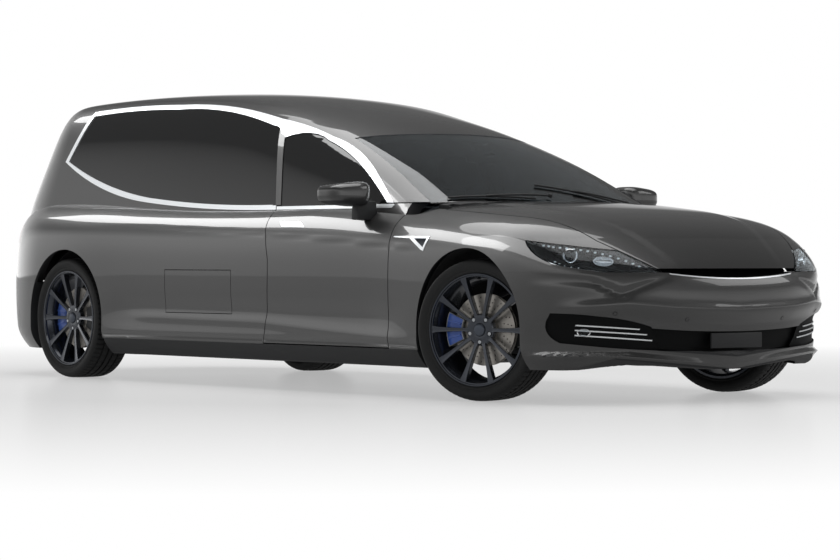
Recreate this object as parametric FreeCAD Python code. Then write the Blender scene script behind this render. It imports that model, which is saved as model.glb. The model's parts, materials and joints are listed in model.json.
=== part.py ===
"""Hearse: a stretched electric liftback saloon with a raised, long, glazed roof.

Millimetres. +X is forward, +Y is the car's left, +Z is up. The origin is on the ground, midway along the car
and on its centre plane. The front wheels stand turned to the left, as the car is parked.
"""
import FreeCAD, Part
import math
import os

V = FreeCAD.Vector
os.makedirs("parts", exist_ok=True)

# ---- driving dimensions -------------------------------------------------------------------------------------
FRONT_AXLE_X = 1955.0       # front wheel centres
WHEELBASE = 3760.0
REAR_AXLE_X = FRONT_AXLE_X - WHEELBASE
TYRE_R = 352.0
TYRE_WIDTH = 245.0
FRONT_TRACK = 1660.0        # between the tyre centres
REAR_TRACK = 1686.0
PARKED_STEER = 17.5         # degrees to the left
KINGPIN_INSET = 20.0        # from the tyre's middle plane towards the car's centre
ARCH_R = 395.0              # wheel arch opening
ARCH_Z = 360.0              # height of its centre
SILL_BOTTOM_Z = 152.0
SILL_TOP_Z = 244.0
MOVING_GAP = 6.0            # round a door, the hood and the tailgate
SEAT_GAP = 0.3              # between pieces that are fastened together
SIDE_WALL = 85.0            # door and side wall, skin to trim
ROOF_WALL = 40.0
HOOD_WALL = 55.0
FENDER_WALL = 12.0
TAIL_WALL = 60.0
BUMPER_WALL = 60.0
HATCH_WALL = 24.0
HATCH_GAP = 4.0
GLASS_INSET = 3.0           # glass below the skin
GLASS_THICKNESS = 6.0

# ---- body shape: rows of (place, size), read as smooth curves ----------------------------------------------
WAIST_ROWS = [(-2900, 955), (-2300, 974), (-1805, 984), (-1300, 966), (-700, 952), (0, 948), (700, 948),
              (1300, 958), (1650, 974), (1955, 982), (2300, 972), (2900, 955)]            # x, half width
NOSE_ROWS = [(165, 2845), (240, 2865), (330, 2872), (430, 2885), (530, 2888), (600, 2880), (660, 2860),
             (760, 2790)]                                                                 # z, foremost x
TAIL_ROWS = [(165, -2780), (300, -2850), (450, -2883), (620, -2885), (800, -2868), (950, -2835),
             (1030, -2805), (1100, -2780)]                                                # z, rearmost x
DECK_ROWS = [(-2900, 1110), (-1805, 1100), (-1000, 1075), (0, 1060), (900, 1050), (1500, 1003), (1700, 992),
             (2000, 965), (2300, 925), (2500, 872), (2700, 792), (2800, 735), (2900, 665)]  # x, shoulder and hood z
ROOF_ROWS = [(-2495, 1648), (-2245, 1662), (-1845, 1674), (-1345, 1674), (-945, 1662), (-445, 1624), (55, 1548),
             (505, 1440), (755, 1355), (1055, 1235), (1355, 1103), (1595, 995)]           # x, windscreen and roof z
TAIL_GLASS_ROWS = [(1000, -2775), (1030, -2765), (1300, -2650), (1500, -2560), (1650, -2480)]  # z, rearmost x

SHOULDER_START_Z = 500.0    # below this the side is upright
SHOULDER_POWER = 5.0
NOSE_START_X = 2155.0
NOSE_POWER = 2.4
TAIL_START_X = -2085.0
TAIL_POWER = 2.6
CABIN_HALF_WIDTH = 820.0    # at 1 m height
CABIN_LEAN = 0.30           # mm inwards for each mm upwards
CABIN_POWER = 13.0
CABIN_FLOOR_Z = 700.0
CABIN_TAIL_START_X = -2150.0
CABIN_TAIL_POWER = 3.2
SCREEN_SWEEP = 0.00039      # how the windscreen curves back towards its sides, per mm of half width squared
ROOF_CROWN = 0.00011
HOOD_CROWN = 0.000035
CABIN_BASE_Z = 900.0


def smooth_curve(rows):
    """A natural cubic through the rows, straight beyond both ends."""
    places = [row[0] for row in rows]
    sizes = [float(row[1]) for row in rows]
    last = len(rows) - 1
    steps = [places[i + 1] - places[i] for i in range(last)]
    diagonal = [1.0] * (last + 1)
    upper = [0.0] * (last + 1)
    bend = [0.0] * (last + 1)
    for i in range(1, last):
        diagonal[i] = 2 * (steps[i - 1] + steps[i]) - steps[i - 1] * upper[i - 1] / diagonal[i - 1]
        upper[i] = steps[i]
        change = (sizes[i + 1] - sizes[i]) / steps[i] - (sizes[i] - sizes[i - 1]) / steps[i - 1]
        bend[i] = 6 * change - steps[i - 1] * bend[i - 1] / diagonal[i - 1]
    for i in range(last, -1, -1):
        following = upper[i] * bend[i + 1] if i < last else 0.0
        bend[i] = (bend[i] - following) / diagonal[i]

    def value(place):
        if place <= places[0]:
            slope = (sizes[1] - sizes[0]) / steps[0] - steps[0] * (2 * bend[0] + bend[1]) / 6
            return sizes[0] + slope * (place - places[0])
        if place >= places[last]:
            slope = (sizes[last] - sizes[last - 1]) / steps[-1] + steps[-1] * (bend[-2] + 2 * bend[-1]) / 6
            return sizes[last] + slope * (place - places[last])
        i = max(k for k in range(last) if places[k] <= place)
        a = (places[i + 1] - place) / steps[i]
        b = (place - places[i]) / steps[i]
        curved = ((a ** 3 - a) * bend[i] + (b ** 3 - b) * bend[i + 1]) * steps[i] ** 2 / 6
        return a * sizes[i] + b * sizes[i + 1] + curved
    return value


waist = smooth_curve(WAIST_ROWS)
nose_x = smooth_curve(NOSE_ROWS)
tail_x = smooth_curve(TAIL_ROWS)
deck_z = smooth_curve(DECK_ROWS)
roof_line = smooth_curve(ROOF_ROWS)
tail_glass_x = smooth_curve(TAIL_GLASS_ROWS)


def clamp(value, low, high):
    return max(low, min(high, value))


def ease(t):
    t = clamp(t, 0.0, 1.0)
    return t * t * (3 - 2 * t)


def side_half_width(x, z):
    """Half width of the lower body, before its shoulder and ends round off."""
    tuck = 0.0036 * max(300.0 - max(z, 120.0), 0.0) ** 2
    along_door = ease((x + 1500) / 400) * ease((1500 - x) / 400)
    return waist(x) - tuck - 10.0 * along_door * math.exp(-((z - 400) / 85) ** 2)


def end_share(x, z):
    """How far x lies towards the nose or tail, 0 to 1, and the power of that end's rounding."""
    if x > NOSE_START_X:
        return (x - NOSE_START_X) / (nose_x(clamp(z, 120.0, 800.0)) - NOSE_START_X), NOSE_POWER
    if x < TAIL_START_X:
        return (TAIL_START_X - x) / (TAIL_START_X - tail_x(clamp(z, 120.0, 1150.0))), TAIL_POWER
    return 0.0, NOSE_POWER


def in_lower_body(x, y, z):
    share, power = end_share(x, z)
    plan = (share ** power + (abs(y) / side_half_width(x, z)) ** power) ** (1 / power)
    height = deck_z(x) - HOOD_CROWN * y * y - SHOULDER_START_Z
    rise = max(0.0, z - SHOULDER_START_Z) / max(height, 5.0)
    return plan ** SHOULDER_POWER + rise ** SHOULDER_POWER < 1


def cabin_half_width(x, z):
    return CABIN_HALF_WIDTH - CABIN_LEAN * (z - 1000) + 8 * ease((-x - 1000) / 1500)


def in_cabin(x, y, z):
    across = abs(y) / max(cabin_half_width(x, z), 50.0)
    if x < CABIN_TAIL_START_X:
        share = (CABIN_TAIL_START_X - x) / max(CABIN_TAIL_START_X - tail_glass_x(z), 50.0)
        across = (share ** CABIN_TAIL_POWER + across ** CABIN_TAIL_POWER) ** (1 / CABIN_TAIL_POWER)
    top = roof_line(x + SCREEN_SWEEP * y * y * ease((x + 400) / 600))
    top -= ROOF_CROWN * ease((1100 - x) / 900) * y * y
    rise = (z - CABIN_FLOOR_Z) / max(top - CABIN_FLOOR_Z, 5.0)
    return max(across, 0.0) ** CABIN_POWER + max(rise, 0.0) ** CABIN_POWER < 1


def reach(inside, x, base_z, dy, dz):
    """How many times (dy, dz) fits between (x, 0, base_z) and the skin."""
    low, high = 0.0, 1.5
    for _ in range(24):
        middle = (low + high) / 2
        if inside(x, middle * dy, base_z + middle * dz):
            low = middle
        else:
            high = middle
    return low


def arc(a, b, c):
    return Part.Arc(a, b, c).toShape()


def line(a, b):
    return Part.makeLine(a, b)


def box(x0, x1, y0, y1, z0, z1):
    return Part.makeBox(x1 - x0, y1 - y0, z1 - z0, V(x0, y0, z0))


def rod(start, end, r):
    return Part.makeCylinder(r, (end - start).Length, start, end - start)


def mirrored(shape):
    return shape.mirror(V(0, 0, 0), V(0, 1, 0))


def fused(shapes):
    result = shapes[0]
    for other in shapes[1:]:
        result = result.fuse(other)
    return result.removeSplitter()


def half_ring(inside, x, base_z, width, height, angles, side_inset, top_inset):
    """Points of one station's skin at the named angles, moved in by the wall."""
    flank = reach(inside, x, base_z, width, 0.0) * width
    crest = reach(inside, x, base_z, 0.0, height) * height
    y_scale = (flank - side_inset) / flank
    z_scale = (crest - top_inset) / crest
    ring = []
    for angle in angles:
        dy = flank * math.cos(math.radians(angle))
        dz = crest * math.sin(math.radians(angle))
        out = reach(inside, x, base_z, dy, dz)
        ring.append(V(x, out * dy * y_scale, base_z + out * dz * z_scale))
    return ring


def flipped(point):
    return V(point.x, -point.y, point.z)


def station_wire(foot, ring):
    """A closed station: an upright foot, a side, a shoulder and a crown, the same on both sides."""
    edges = list(foot)
    for i in range(0, len(ring) - 2, 2):
        edges.append(arc(ring[i], ring[i + 1], ring[i + 2]))
    other_side = [edge.mirror(V(0, 0, 0), V(0, 1, 0)) for edge in reversed(edges)]
    crown = arc(ring[-2], ring[-1], flipped(ring[-2]))
    start = edges[0].Vertexes[0].Point
    return Part.Wire(Part.__sortEdges__(edges + [crown] + other_side + [line(flipped(start), start)]))


LOWER_ANGLES = (0, 18, 36, 48, 60, 90)
LOWER_STATIONS = (-2100, -1805, -1300, -700, 0, 700, 1300, 1650, 1955, 2155, 2330, 2480, 2600, 2690, 2760, 2815,
                  2850)


def lower_loft(side_inset, top_inset, foot_z, first=-2100, last=2850):
    """The lower body as a solid, its wall taken off; foot_z is its underside."""
    wires = []
    for x in LOWER_STATIONS:
        if not first <= x <= last:
            continue
        height = deck_z(x) - SHOULDER_START_Z
        ring = half_ring(in_lower_body, x, SHOULDER_START_Z, waist(x), height, LOWER_ANGLES, side_inset, top_inset)
        share, power = end_share(x, 330.0)
        narrowing = max(1 - share ** power, 0.02) ** (1 / power)
        foot = [V(x, side_half_width(x, z) * narrowing - side_inset, z) for z in (foot_z, 330.0)]
        wires.append(station_wire([arc(foot[0], foot[1], ring[0])], ring))
    return Part.makeLoft(wires, True, True)


CABIN_ANGLES = (0, 20, 40, 45, 50, 90)
CABIN_STATIONS = (-2740, -2690, -2640, -2590, -2540, -2490, -2440, -2300, -2150, -1845, -1345, -945, -445, 55, 505,
                  755, 1055, 1355, 1500, 1580)


def cabin_loft(side_inset, top_inset, tail_inset, base_z=CABIN_BASE_Z):
    """The glazed upper body as a solid, its wall taken off."""
    wires = []
    for x in CABIN_STATIONS:
        seen_x = x - tail_inset * ease((-2150 - x) / 200)
        if seen_x < CABIN_STATIONS[0] - 10:
            continue
        height = roof_line(seen_x) - base_z
        ring = half_ring(in_cabin, seen_x, base_z, CABIN_HALF_WIDTH, height, CABIN_ANGLES, side_inset, top_inset)
        for point in ring:
            point.x = x
        wires.append(station_wire([], ring))
    return Part.makeLoft(wires, True, True)


def end_loft(heights, start_x, back_x, end_curve, power, side_inset, end_inset):
    """The nose or tail as a solid made of level outlines, each a D shape."""
    wires = []
    for z in heights:
        rise = max(0.0, z - SHOULDER_START_Z) / (deck_z(start_x) - SHOULDER_START_Z)
        left = (1 - min(rise, 0.98) ** SHOULDER_POWER) ** (1 / SHOULDER_POWER)
        length = (end_curve(clamp(z, 120.0, 1150.0)) - start_x) * left
        length -= math.copysign(end_inset, length)
        points = []
        for angle in (90, 75, 60, 45, 30, 0):
            x = start_x + length * math.cos(math.radians(angle)) ** (2 / power)
            wide = side_half_width(x, z) * left - side_inset
            points.append(V(x, wide * math.sin(math.radians(angle)) ** (2 / power), z))
        back = V(back_x, side_half_width(back_x, z) * left - side_inset, z)
        edges = [line(back, points[0]), arc(*points[0:3]), arc(*points[2:5])]
        other = [edge.mirror(V(0, 0, 0), V(0, 1, 0)) for edge in reversed(edges)]
        tip = arc(points[4], points[5], flipped(points[4]))
        wires.append(Part.Wire(Part.__sortEdges__(edges + [tip] + other + [line(flipped(back), back)])))
    return Part.makeLoft(wires, True, True)


NOSE_HEIGHTS = (165, 240, 330, 430, 530, 600, 642)
NOSE_CORE_HEIGHTS = (100, 240, 330, 430, 530, 600, 680)
TAIL_HEIGHTS = (165, 300, 450, 620, 800, 950, 1030, 1070, 1095)
TAIL_CORE_HEIGHTS = (100, 300, 450, 620, 800, 950, 1030, 1070, 1095)

lower = lower_loft(0, 0, SILL_BOTTOM_Z)
lower_room = lower_loft(SIDE_WALL, 45, 60)
fender_room = lower_loft(FENDER_WALL, FENDER_WALL, 60)
hood_room = lower_loft(FENDER_WALL, HOOD_WALL, 60)
cabin = cabin_loft(0, 0, 0)
cabin_room = cabin_loft(SIDE_WALL - 5, ROOF_WALL, TAIL_WALL - 20, CABIN_BASE_Z - 60)
nose = end_loft(NOSE_HEIGHTS, NOSE_START_X, 2140, nose_x, NOSE_POWER, 0, 0)
nose_room = end_loft(NOSE_CORE_HEIGHTS, NOSE_START_X, 2120, nose_x, NOSE_POWER, BUMPER_WALL, BUMPER_WALL + 10)
tail = end_loft(TAIL_HEIGHTS, TAIL_START_X, -2060, tail_x, TAIL_POWER, 0, 0)
tail_room = end_loft(TAIL_CORE_HEIGHTS, TAIL_START_X, -2040, tail_x, TAIL_POWER, SIDE_WALL, TAIL_WALL)


# ---- cutting outlines ---------------------------------------------------------------------------------------
def parts_of(shape, least=1e4):
    """The real pieces of a cut, without slivers."""
    solids = [solid for solid in shape.Solids if solid.Volume > least]
    return solids[0] if len(solids) == 1 else Part.makeCompound(solids)


def outline(path, place):
    """A closed face; each step is a corner, or a pair (point on the arc, its end)."""
    edges = []
    here = path[0]
    for step in path[1:] + [path[0]]:
        if isinstance(step[0], tuple):
            edges.append(arc(place(*here), place(*step[0]), place(*step[1])))
            here = step[1]
        elif math.dist(here, step) > 0.01:
            edges.append(line(place(*here), place(*step)))
            here = step
    return Part.Face(Part.Wire(Part.__sortEdges__(edges)))


def side_prism(path, y0=400.0, y1=1200.0, grow=0.0):
    """A side outline, given as (x, z), through the left side of the car."""
    face = outline(path, lambda x, z: V(x, y0, z))
    if grow:
        face = face.makeOffset2D(grow)
    return face.extrude(V(0, y1 - y0, 0))


def top_prism(path, z0, z1):
    """An outline seen from above, given as (x, y)."""
    return outline(path, lambda x, y: V(x, y, z0)).extrude(V(0, 0, z1 - z0))


def rear_prism(path, x0, x1):
    """An outline seen from behind, given as (y, z)."""
    return outline(path, lambda y, z: V(x0, y, z)).extrude(V(x1 - x0, 0, 0))


def hinge_parts(axis_point, to_lid, outward, drop, arm_reach, post, base_reach=10.0, room_rise=2.0):
    """A gooseneck hinge: the lid's strap, the body's bracket with its pin, and the room the strap needs."""
    width, ring_r, pin_r, plate = 26.0, 9.0, 5.0, 6.0
    along = to_lid.cross(outward)
    matrix = FreeCAD.Matrix(to_lid.x, outward.x, along.x, axis_point.x, to_lid.y, outward.y, along.y,
                            axis_point.y, to_lid.z, outward.z, along.z, axis_point.z, 0, 0, 0, 1)
    leg = box(-4, 4, -drop, 0, -width / 2, width / 2)
    arm = box(-4, arm_reach, -drop - 8, -drop, -width / 2, width / 2)
    ring = Part.makeCylinder(ring_r, width, V(0, 0, -width / 2))
    bore = Part.makeCylinder(pin_r + SEAT_GAP, width + 2, V(0, 0, -width / 2 - 1))
    strap = fused([ring, leg, arm]).cut(bore)
    half = width / 2 + 1
    pin = Part.makeCylinder(pin_r, 2 * half + 2 * plate, V(0, 0, -half - plate))
    ears = [box(-post, 0, -ring_r, ring_r, side, side + plate).fuse(Part.makeCylinder(ring_r, plate, V(0, 0, side)))
            for side in (-half - plate, half)]
    base = box(-post, -post + 8, -base_reach, ring_r, -half - plate, half + plate)
    bracket = fused([pin, base] + ears)
    room = box(8 - post, arm_reach, -drop - 30, ring_r + room_rise, -half - plate - 3, half + plate + 3)
    return [shape.transformed(matrix) for shape in (strap, bracket, room)]


DOOR_FRONT_X = 1308.0
BELT_Z = 985.0
DOOR = [(146, BELT_Z), (DOOR_FRONT_X, BELT_Z), (DOOR_FRONT_X, 250), (190, 250), ((226, 480), (232, 700))]
DOOR_GLASS = [(188, BELT_Z + SEAT_GAP), (53, 1360), ((240, 1378), (423, 1332)), ((800, 1186), (1128, BELT_Z + SEAT_GAP))]
SIDE_GLASS = [(-2145, 1283), ((-1680, 1142), (-1159, 1050)), ((-627, 1010), (131, 992)), (-28, 1420),
              ((-560, 1531), (-1116, 1566)), ((-1600, 1574), (-2019, 1559))]
HATCH = [(-765, 402), (-120, 402), (-120, 637), (-765, 637)]
HOOD_SIDE_Y = 748.0
SCREEN_BASE_X = 1592.0
SCREEN_TOP_X = 689.0


def swept(x, y):
    """A point on a line across the car that curves back with the windscreen."""
    return (x - SCREEN_SWEEP * y * y, y)


SCREEN = [swept(SCREEN_BASE_X, -735), (swept(SCREEN_BASE_X, 0), swept(SCREEN_BASE_X, 735)),
          swept(SCREEN_TOP_X, 600), (swept(SCREEN_TOP_X, 0), swept(SCREEN_TOP_X, -600))]
HOOD = [(1535, -HOOD_SIDE_Y), ((1640, 0), (1535, HOOD_SIDE_Y)), ((2130, 738), (2560, 640)), ((2720, 530), (2840, 392)),
        ((2875, 0), (2840, -392)), ((2720, -530), (2560, -640)), ((2130, -738), (1535, -HOOD_SIDE_Y))]
HEADLAMP = [(2326, 792), ((2420, 716), (2530, 668)), (2690, 637), (2860, 637), (2860, 700), ((2620, 748), (2326, 792))]
GATE_BOTTOM_Z = 566.0
BUMPER_TOP_Z = 560.0
GATE_LIP_Z = 1606.0
GATE = [(-640, GATE_BOTTOM_Z), (640, GATE_BOTTOM_Z), (640, 950), ((626, 1010), (598, 1060)), (516, 1600), (-516, 1600),
        (-598, 1060), ((-626, 1010), (-640, 950))]
GATE_GLASS = [(-560, 1085), (560, 1085), (488, 1530), (-488, 1530)]
ROOF_SIDE_Y = 572.0
ROOF_REAR_X = -2440.0
NOSE_SEAM_Z = 635.0


def both(left):
    """The left piece and its mirror image, in one node."""
    return Part.makeCompound([left, mirrored(left)])


def cut_by(shape, tools):
    for tool in tools:
        shape = shape.cut(tool)
    return shape


front_arch = Part.makeCylinder(ARCH_R, 800, V(FRONT_AXLE_X, 480, ARCH_Z), V(0, 1, 0))
rear_arch = Part.makeCylinder(ARCH_R, 800, V(REAR_AXLE_X, 480, ARCH_Z), V(0, 1, 0))
front_foot = box(FRONT_AXLE_X - ARCH_R, FRONT_AXLE_X + ARCH_R, 480, 1280, 0, ARCH_Z)
rear_foot = box(REAR_AXLE_X - ARCH_R, REAR_AXLE_X + ARCH_R, 480, 1280, 0, ARCH_Z)
left_half = box(-3200, 3200, 0, 1400, 0, 2000)

# hinges
DOOR_AXIS_Y = 943.0
door_hinge = [hinge_parts(V(DOOR_FRONT_X + 30, DOOR_AXIS_Y, z), V(-1, 0, 0), V(0, 1, 0), 36, 46, 25)
              for z in (460, 690)]
hood_hinge = hinge_parts(V(1496, 690, 962), V(1, 0, 0), V(0, 0, 1), 20, 60, 30, room_rise=11)
GATE_AXIS_X, GATE_AXIS_Z = -2478.0, 1615.0
gate_hinge = hinge_parts(V(GATE_AXIS_X, 150, GATE_AXIS_Z), V(-0.4, 0, -0.9165), V(-0.9165, 0, 0.4), 22, 48, 20, 46)

# ---- body panels --------------------------------------------------------------------------------------------
door_zone = side_prism(DOOR, 600)
door_room = side_prism(DOOR, 600, grow=MOVING_GAP)
door_skin = lower.common(door_zone).cut(lower_room).cut(cabin_room)
door_lip = cabin.common(door_zone).cut(cabin_room)
door_left = fused([parts_of(door_skin.fuse(door_lip))] + [hinge[0] for hinge in door_hinge])

glass_outer = cabin_loft(GLASS_INSET, GLASS_INSET, GLASS_INSET)
glass_inner = cabin_loft(GLASS_INSET + GLASS_THICKNESS, GLASS_INSET + GLASS_THICKNESS, GLASS_INSET + GLASS_THICKNESS,
                         CABIN_BASE_Z - 20)
glass_shell = glass_outer.cut(glass_inner)
glass_left = glass_shell.common(box(-3000, 1700, 350, 1000, 900, 1800))
door_glass_left = parts_of(glass_left.common(side_prism(DOOR_GLASS, 500)))
door_glass_room = side_prism(DOOR_GLASS, 500, grow=MOVING_GAP)
side_glass_left = parts_of(glass_left.common(side_prism(SIDE_GLASS, 450, grow=-SEAT_GAP)))
side_glass_hole = side_prism(SIDE_GLASS, 450)
windscreen = glass_shell.common(outline(SCREEN, lambda x, y: V(x, y, 950)).makeOffset2D(-0.8).extrude(V(0, 0, 700)))
screen_hole = top_prism(SCREEN, 940, 1500)

hatch_zone = side_prism(HATCH, 800)
hatch_ledge = lower_loft(HATCH_WALL + SEAT_GAP, HATCH_WALL, 60)
hatch_room = side_prism(HATCH, 700, grow=HATCH_GAP).cut(hatch_ledge).fuse(side_prism(HATCH, 500, grow=-12.0))
side_hatch_left = parts_of(lower.common(hatch_zone).cut(lower_loft(HATCH_WALL, HATCH_WALL, 60)))
# two thin barrels on the flap's hinge line, turning in a groove of the side
HATCH_AXIS_Y, HATCH_AXIS_Z, BARREL_R = 958.5, 639.5, 1.6
for x0 in (HATCH[0][0] + 60, HATCH[1][0] - 110):
    barrel = rod(V(x0, HATCH_AXIS_Y, HATCH_AXIS_Z), V(x0 + 50, HATCH_AXIS_Y, HATCH_AXIS_Z), BARREL_R)
    rib = box(x0, x0 + 50, HATCH_AXIS_Y - 14, HATCH_AXIS_Y - 0.5, HATCH_AXIS_Z - 4, HATCH_AXIS_Z - 0.5)
    side_hatch_left = side_hatch_left.fuse(barrel).fuse(rib)
    hatch_room = hatch_room.fuse(rod(V(x0 - 1, HATCH_AXIS_Y, HATCH_AXIS_Z), V(x0 + 51, HATCH_AXIS_Y, HATCH_AXIS_Z),
                                     BARREL_R + 0.8))

upper_shell = cabin.cut(cabin_room)
roof_zone = box(ROOF_REAR_X, 900, -ROOF_SIDE_Y, ROOF_SIDE_Y, 1300, 1800).fuse(
    box(ROOF_REAR_X - 200, ROOF_REAR_X, -ROOF_SIDE_Y, ROOF_SIDE_Y, GATE_LIP_Z, 1800))
roof = cut_by(upper_shell.common(roof_zone), [screen_hole, box(SCREEN_TOP_X - 60, 1000, -700, 700, 1200, 1700)])
gate_prism = rear_prism(GATE, -3000, -2260)
gate_zone = gate_prism.cut(box(-2442, -2200, -700, 700, 500, 1800))
gate_room = outline(GATE, lambda y, z: V(-3000, y, z)).makeOffset2D(MOVING_GAP).extrude(V(740, 0, 0))
lower_tail = tail.cut(tail_room)
gate_lower = lower_tail.common(rear_prism([(-640, GATE_BOTTOM_Z), (640, GATE_BOTTOM_Z), (640, 1095), (-640, 1095)],
                                          -3000, -2600))
tailgate_shell = fused([gate_lower.common(gate_prism).cut(cabin_room), upper_shell.common(gate_zone)])
tailgate_shell = cut_by(tailgate_shell, [rear_prism(GATE_GLASS, -3000, -2450), cabin_room])
glass_gate = glass_shell.common(outline(GATE_GLASS, lambda y, z: V(-3000, y, z)).makeOffset2D(-SEAT_GAP)
                                .extrude(V(550, 0, 0)))

rear_quarter = lower.cut(lower_room).common(box(-2100, 226, 600, 1400, SILL_TOP_Z + SEAT_GAP, 1300))
rear_corner = lower_tail.common(box(-3000, -2099.9, 300, 1400, BUMPER_TOP_Z + SEAT_GAP, 1300))
side_upper = upper_shell.common(box(-2760, 1560, ROOF_SIDE_Y - 130, 1400, 905, 1800))
side_upper = cut_by(side_upper, [box(ROOF_REAR_X - SEAT_GAP, 1000, 0, ROOF_SIDE_Y + SEAT_GAP, 1300, 1800),
                                 box(ROOF_REAR_X - 300, 1000, 0, ROOF_SIDE_Y + SEAT_GAP, GATE_LIP_Z - SEAT_GAP, 1800),
                                 box(140, 1560, 0, 1400, 880, BELT_Z + MOVING_GAP), screen_hole,
                                 box(500, 1560, 0, ROOF_SIDE_Y + 20, 1300, 1800)])
body_side_left = fused([side_upper, rear_quarter.cut(cabin_room), rear_corner.cut(cabin_room)])
body_side_left = cut_by(body_side_left, [door_room, door_glass_room, side_glass_hole, hatch_room, rear_arch, rear_foot,
                                         gate_room, box(-3000, -2150, 0, 1400, 0, BUMPER_TOP_Z + SEAT_GAP),
                                         box(900, 1600, 0, 1400, 880, BELT_Z + MOVING_GAP)])
tail_lamp_left = parts_of(lower_tail.common(box(-3000, -2420, 650, 1000, 800, 905)))
body_side_left = body_side_left.cut(box(-3000, -2420 + SEAT_GAP, 650 - SEAT_GAP, 1000, 800 - SEAT_GAP, 905 + SEAT_GAP))
body_side_left = cut_by(body_side_left, [hinge[2] for hinge in door_hinge] + gate_hinge[1:])
body_side_left = parts_of(body_side_left)
roof = parts_of(cut_by(roof, gate_hinge[1:] + [mirrored(shape) for shape in gate_hinge[1:]]))

sill_left = lower.common(box(REAR_AXLE_X + ARCH_R + 6, FRONT_AXLE_X - ARCH_R - 6, 760, 1400, 100, SILL_TOP_Z))

hood_zone = top_prism(HOOD, 600, 1200)
hood_room_top = outline(HOOD, lambda x, y: V(x, y, 500)).makeOffset2D(MOVING_GAP).extrude(V(0, 0, 800))
hood_panel = lower.common(hood_zone).cut(hood_room).common(box(1400, 3000, -900, 900, NOSE_SEAM_Z + 20, 1200))
hood = fused([parts_of(hood_panel), hood_hinge[0], mirrored(hood_hinge[0])])

lamp_zone = side_prism(HEADLAMP, 300)
lamp_hole = side_prism(HEADLAMP, 300, grow=0.5)
skin_front = lower.cut(fender_room)
lamp_skin = lower.cut(lower_loft(70, 70, 60, 1955))
headlamp_left = parts_of(lamp_skin.common(lamp_zone).common(left_half).cut(hood_room_top))
fender_left = skin_front.common(box(DOOR_FRONT_X + MOVING_GAP + 2, 2900, 380, 1400, SILL_TOP_Z + SEAT_GAP, 1300))
# the wing's rear edge is folded in round the door's axis, so that the opening door's front face clears it
door_swing = box(DOOR_FRONT_X, DOOR_FRONT_X + 22, DOOR_AXIS_Y + 5, 1000, SILL_TOP_Z, BELT_Z).cut(
    Part.makeCylinder(28.2, 800, V(DOOR_FRONT_X + 30, DOOR_AXIS_Y, 200)))
fender_left = cut_by(fender_left, [front_arch, front_foot, hood_room_top, lamp_hole, door_swing,
                                   box(FRONT_AXLE_X, 3000, 0, 1400, 0, NOSE_SEAM_Z),
                                   cabin_loft(-1, -1, 0, 870), box(1300, 1700, 0, 742, 800, 1200)])
fender_left = parts_of(cut_by(fender_left, [shape for hinge in door_hinge for shape in hinge[1:]] + hood_hinge[1:]))

bumper = nose.cut(nose_room).common(box(2140, 3000, -1400, 1400, 150, NOSE_SEAM_Z - SEAT_GAP))
grille_zone = box(2700, 3000, -560, 560, 262, 366)
duct_zone = box(2480, 3000, 640, 900, 290, 430)
slit_zone = box(2700, 3000, -385, 385, 604, 700)
bumper = cut_by(bumper, [front_arch, front_foot, mirrored(front_arch), mirrored(front_foot), grille_zone, duct_zone,
                         mirrored(duct_zone), slit_zone, box(2140, 2200, -1400, 1400, 100, 700)])
grille_shell = end_loft(NOSE_HEIGHTS, NOSE_START_X, 2140, nose_x, NOSE_POWER, 25, 30).cut(nose_room)


def inside_zone(x0, x1, y0, y1, z0, z1):
    return box(x0 + SEAT_GAP, x1 - SEAT_GAP, y0 + SEAT_GAP, y1 - SEAT_GAP, z0 + SEAT_GAP, z1 - SEAT_GAP)


duct_grille = grille_shell.common(inside_zone(2480, 3000, 640, 900, 290, 430))
grilles = Part.makeCompound([grille_shell.common(inside_zone(2700, 3000, -560, 560, 262, 366)),
                             grille_shell.common(inside_zone(2700, 3000, -385, 385, 604, 642)),
                             duct_grille, mirrored(duct_grille)])
rear_bumper = tail.cut(tail_room).common(box(-3000, -2150, -1400, 1400, 165, BUMPER_TOP_Z))
rear_bumper = parts_of(cut_by(rear_bumper, [rear_arch, rear_foot, mirrored(rear_arch), mirrored(rear_foot),
                                            box(-2206, -2000, -1400, 1400, 0, 700)]))

cowl_zone = top_prism([swept(SCREEN_BASE_X + 4, -700), (swept(SCREEN_BASE_X + 4, 0), swept(SCREEN_BASE_X + 4, 700)),
                       (1528, 700), ((1634, 0), (1528, -700))], 900, 1100)
cowl = cut_by(lower.common(cowl_zone), [lower_loft(60, 30, 60, 1300), hood_room_top, body_side_left,
                                        mirrored(body_side_left)])
cowl = cut_by(cowl, hood_hinge[1:] + [mirrored(shape) for shape in hood_hinge[1:]])

# ---- floor, structure and heavy blocks ----------------------------------------------------------------------
FLOOR_Z = SILL_TOP_Z + SEAT_GAP
FLOOR_PLATE = 18.0
REAR_FLOOR_Z = 500.0
REAR_FLOOR_X = -1250.0
BULKHEAD_X = 1363.0
BULKHEAD_PLATE = 36.0
RAIL_Y0, RAIL_Y1 = 440.0, 499.7

inner_half = 855.0
floor_pan = fused([box(REAR_FLOOR_X, BULKHEAD_X - SEAT_GAP, -inner_half, inner_half, FLOOR_Z, FLOOR_Z + FLOOR_PLATE),
                   box(REAR_FLOOR_X - 18, REAR_FLOOR_X, -inner_half, inner_half, FLOOR_Z, REAR_FLOOR_Z + FLOOR_PLATE),
                   box(-2735, REAR_FLOOR_X - 18, -480, 480, REAR_FLOOR_Z, REAR_FLOOR_Z + FLOOR_PLATE)])
floor_pan = floor_pan.common(fused([lower_loft(SIDE_WALL + 8, 60, 60), box(-2790, -2100, -480, 480, 400, 600)]))
battery_pack = box(-1100, 1150, -740, 740, 150, SILL_TOP_Z)
bulkhead = box(BULKHEAD_X, BULKHEAD_X + BULKHEAD_PLATE, -1000, 1000, FLOOR_Z, 984)
bulkhead = bulkhead.common(lower_loft(FENDER_WALL + 1, FENDER_WALL + 1, 60, 1300))
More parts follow.
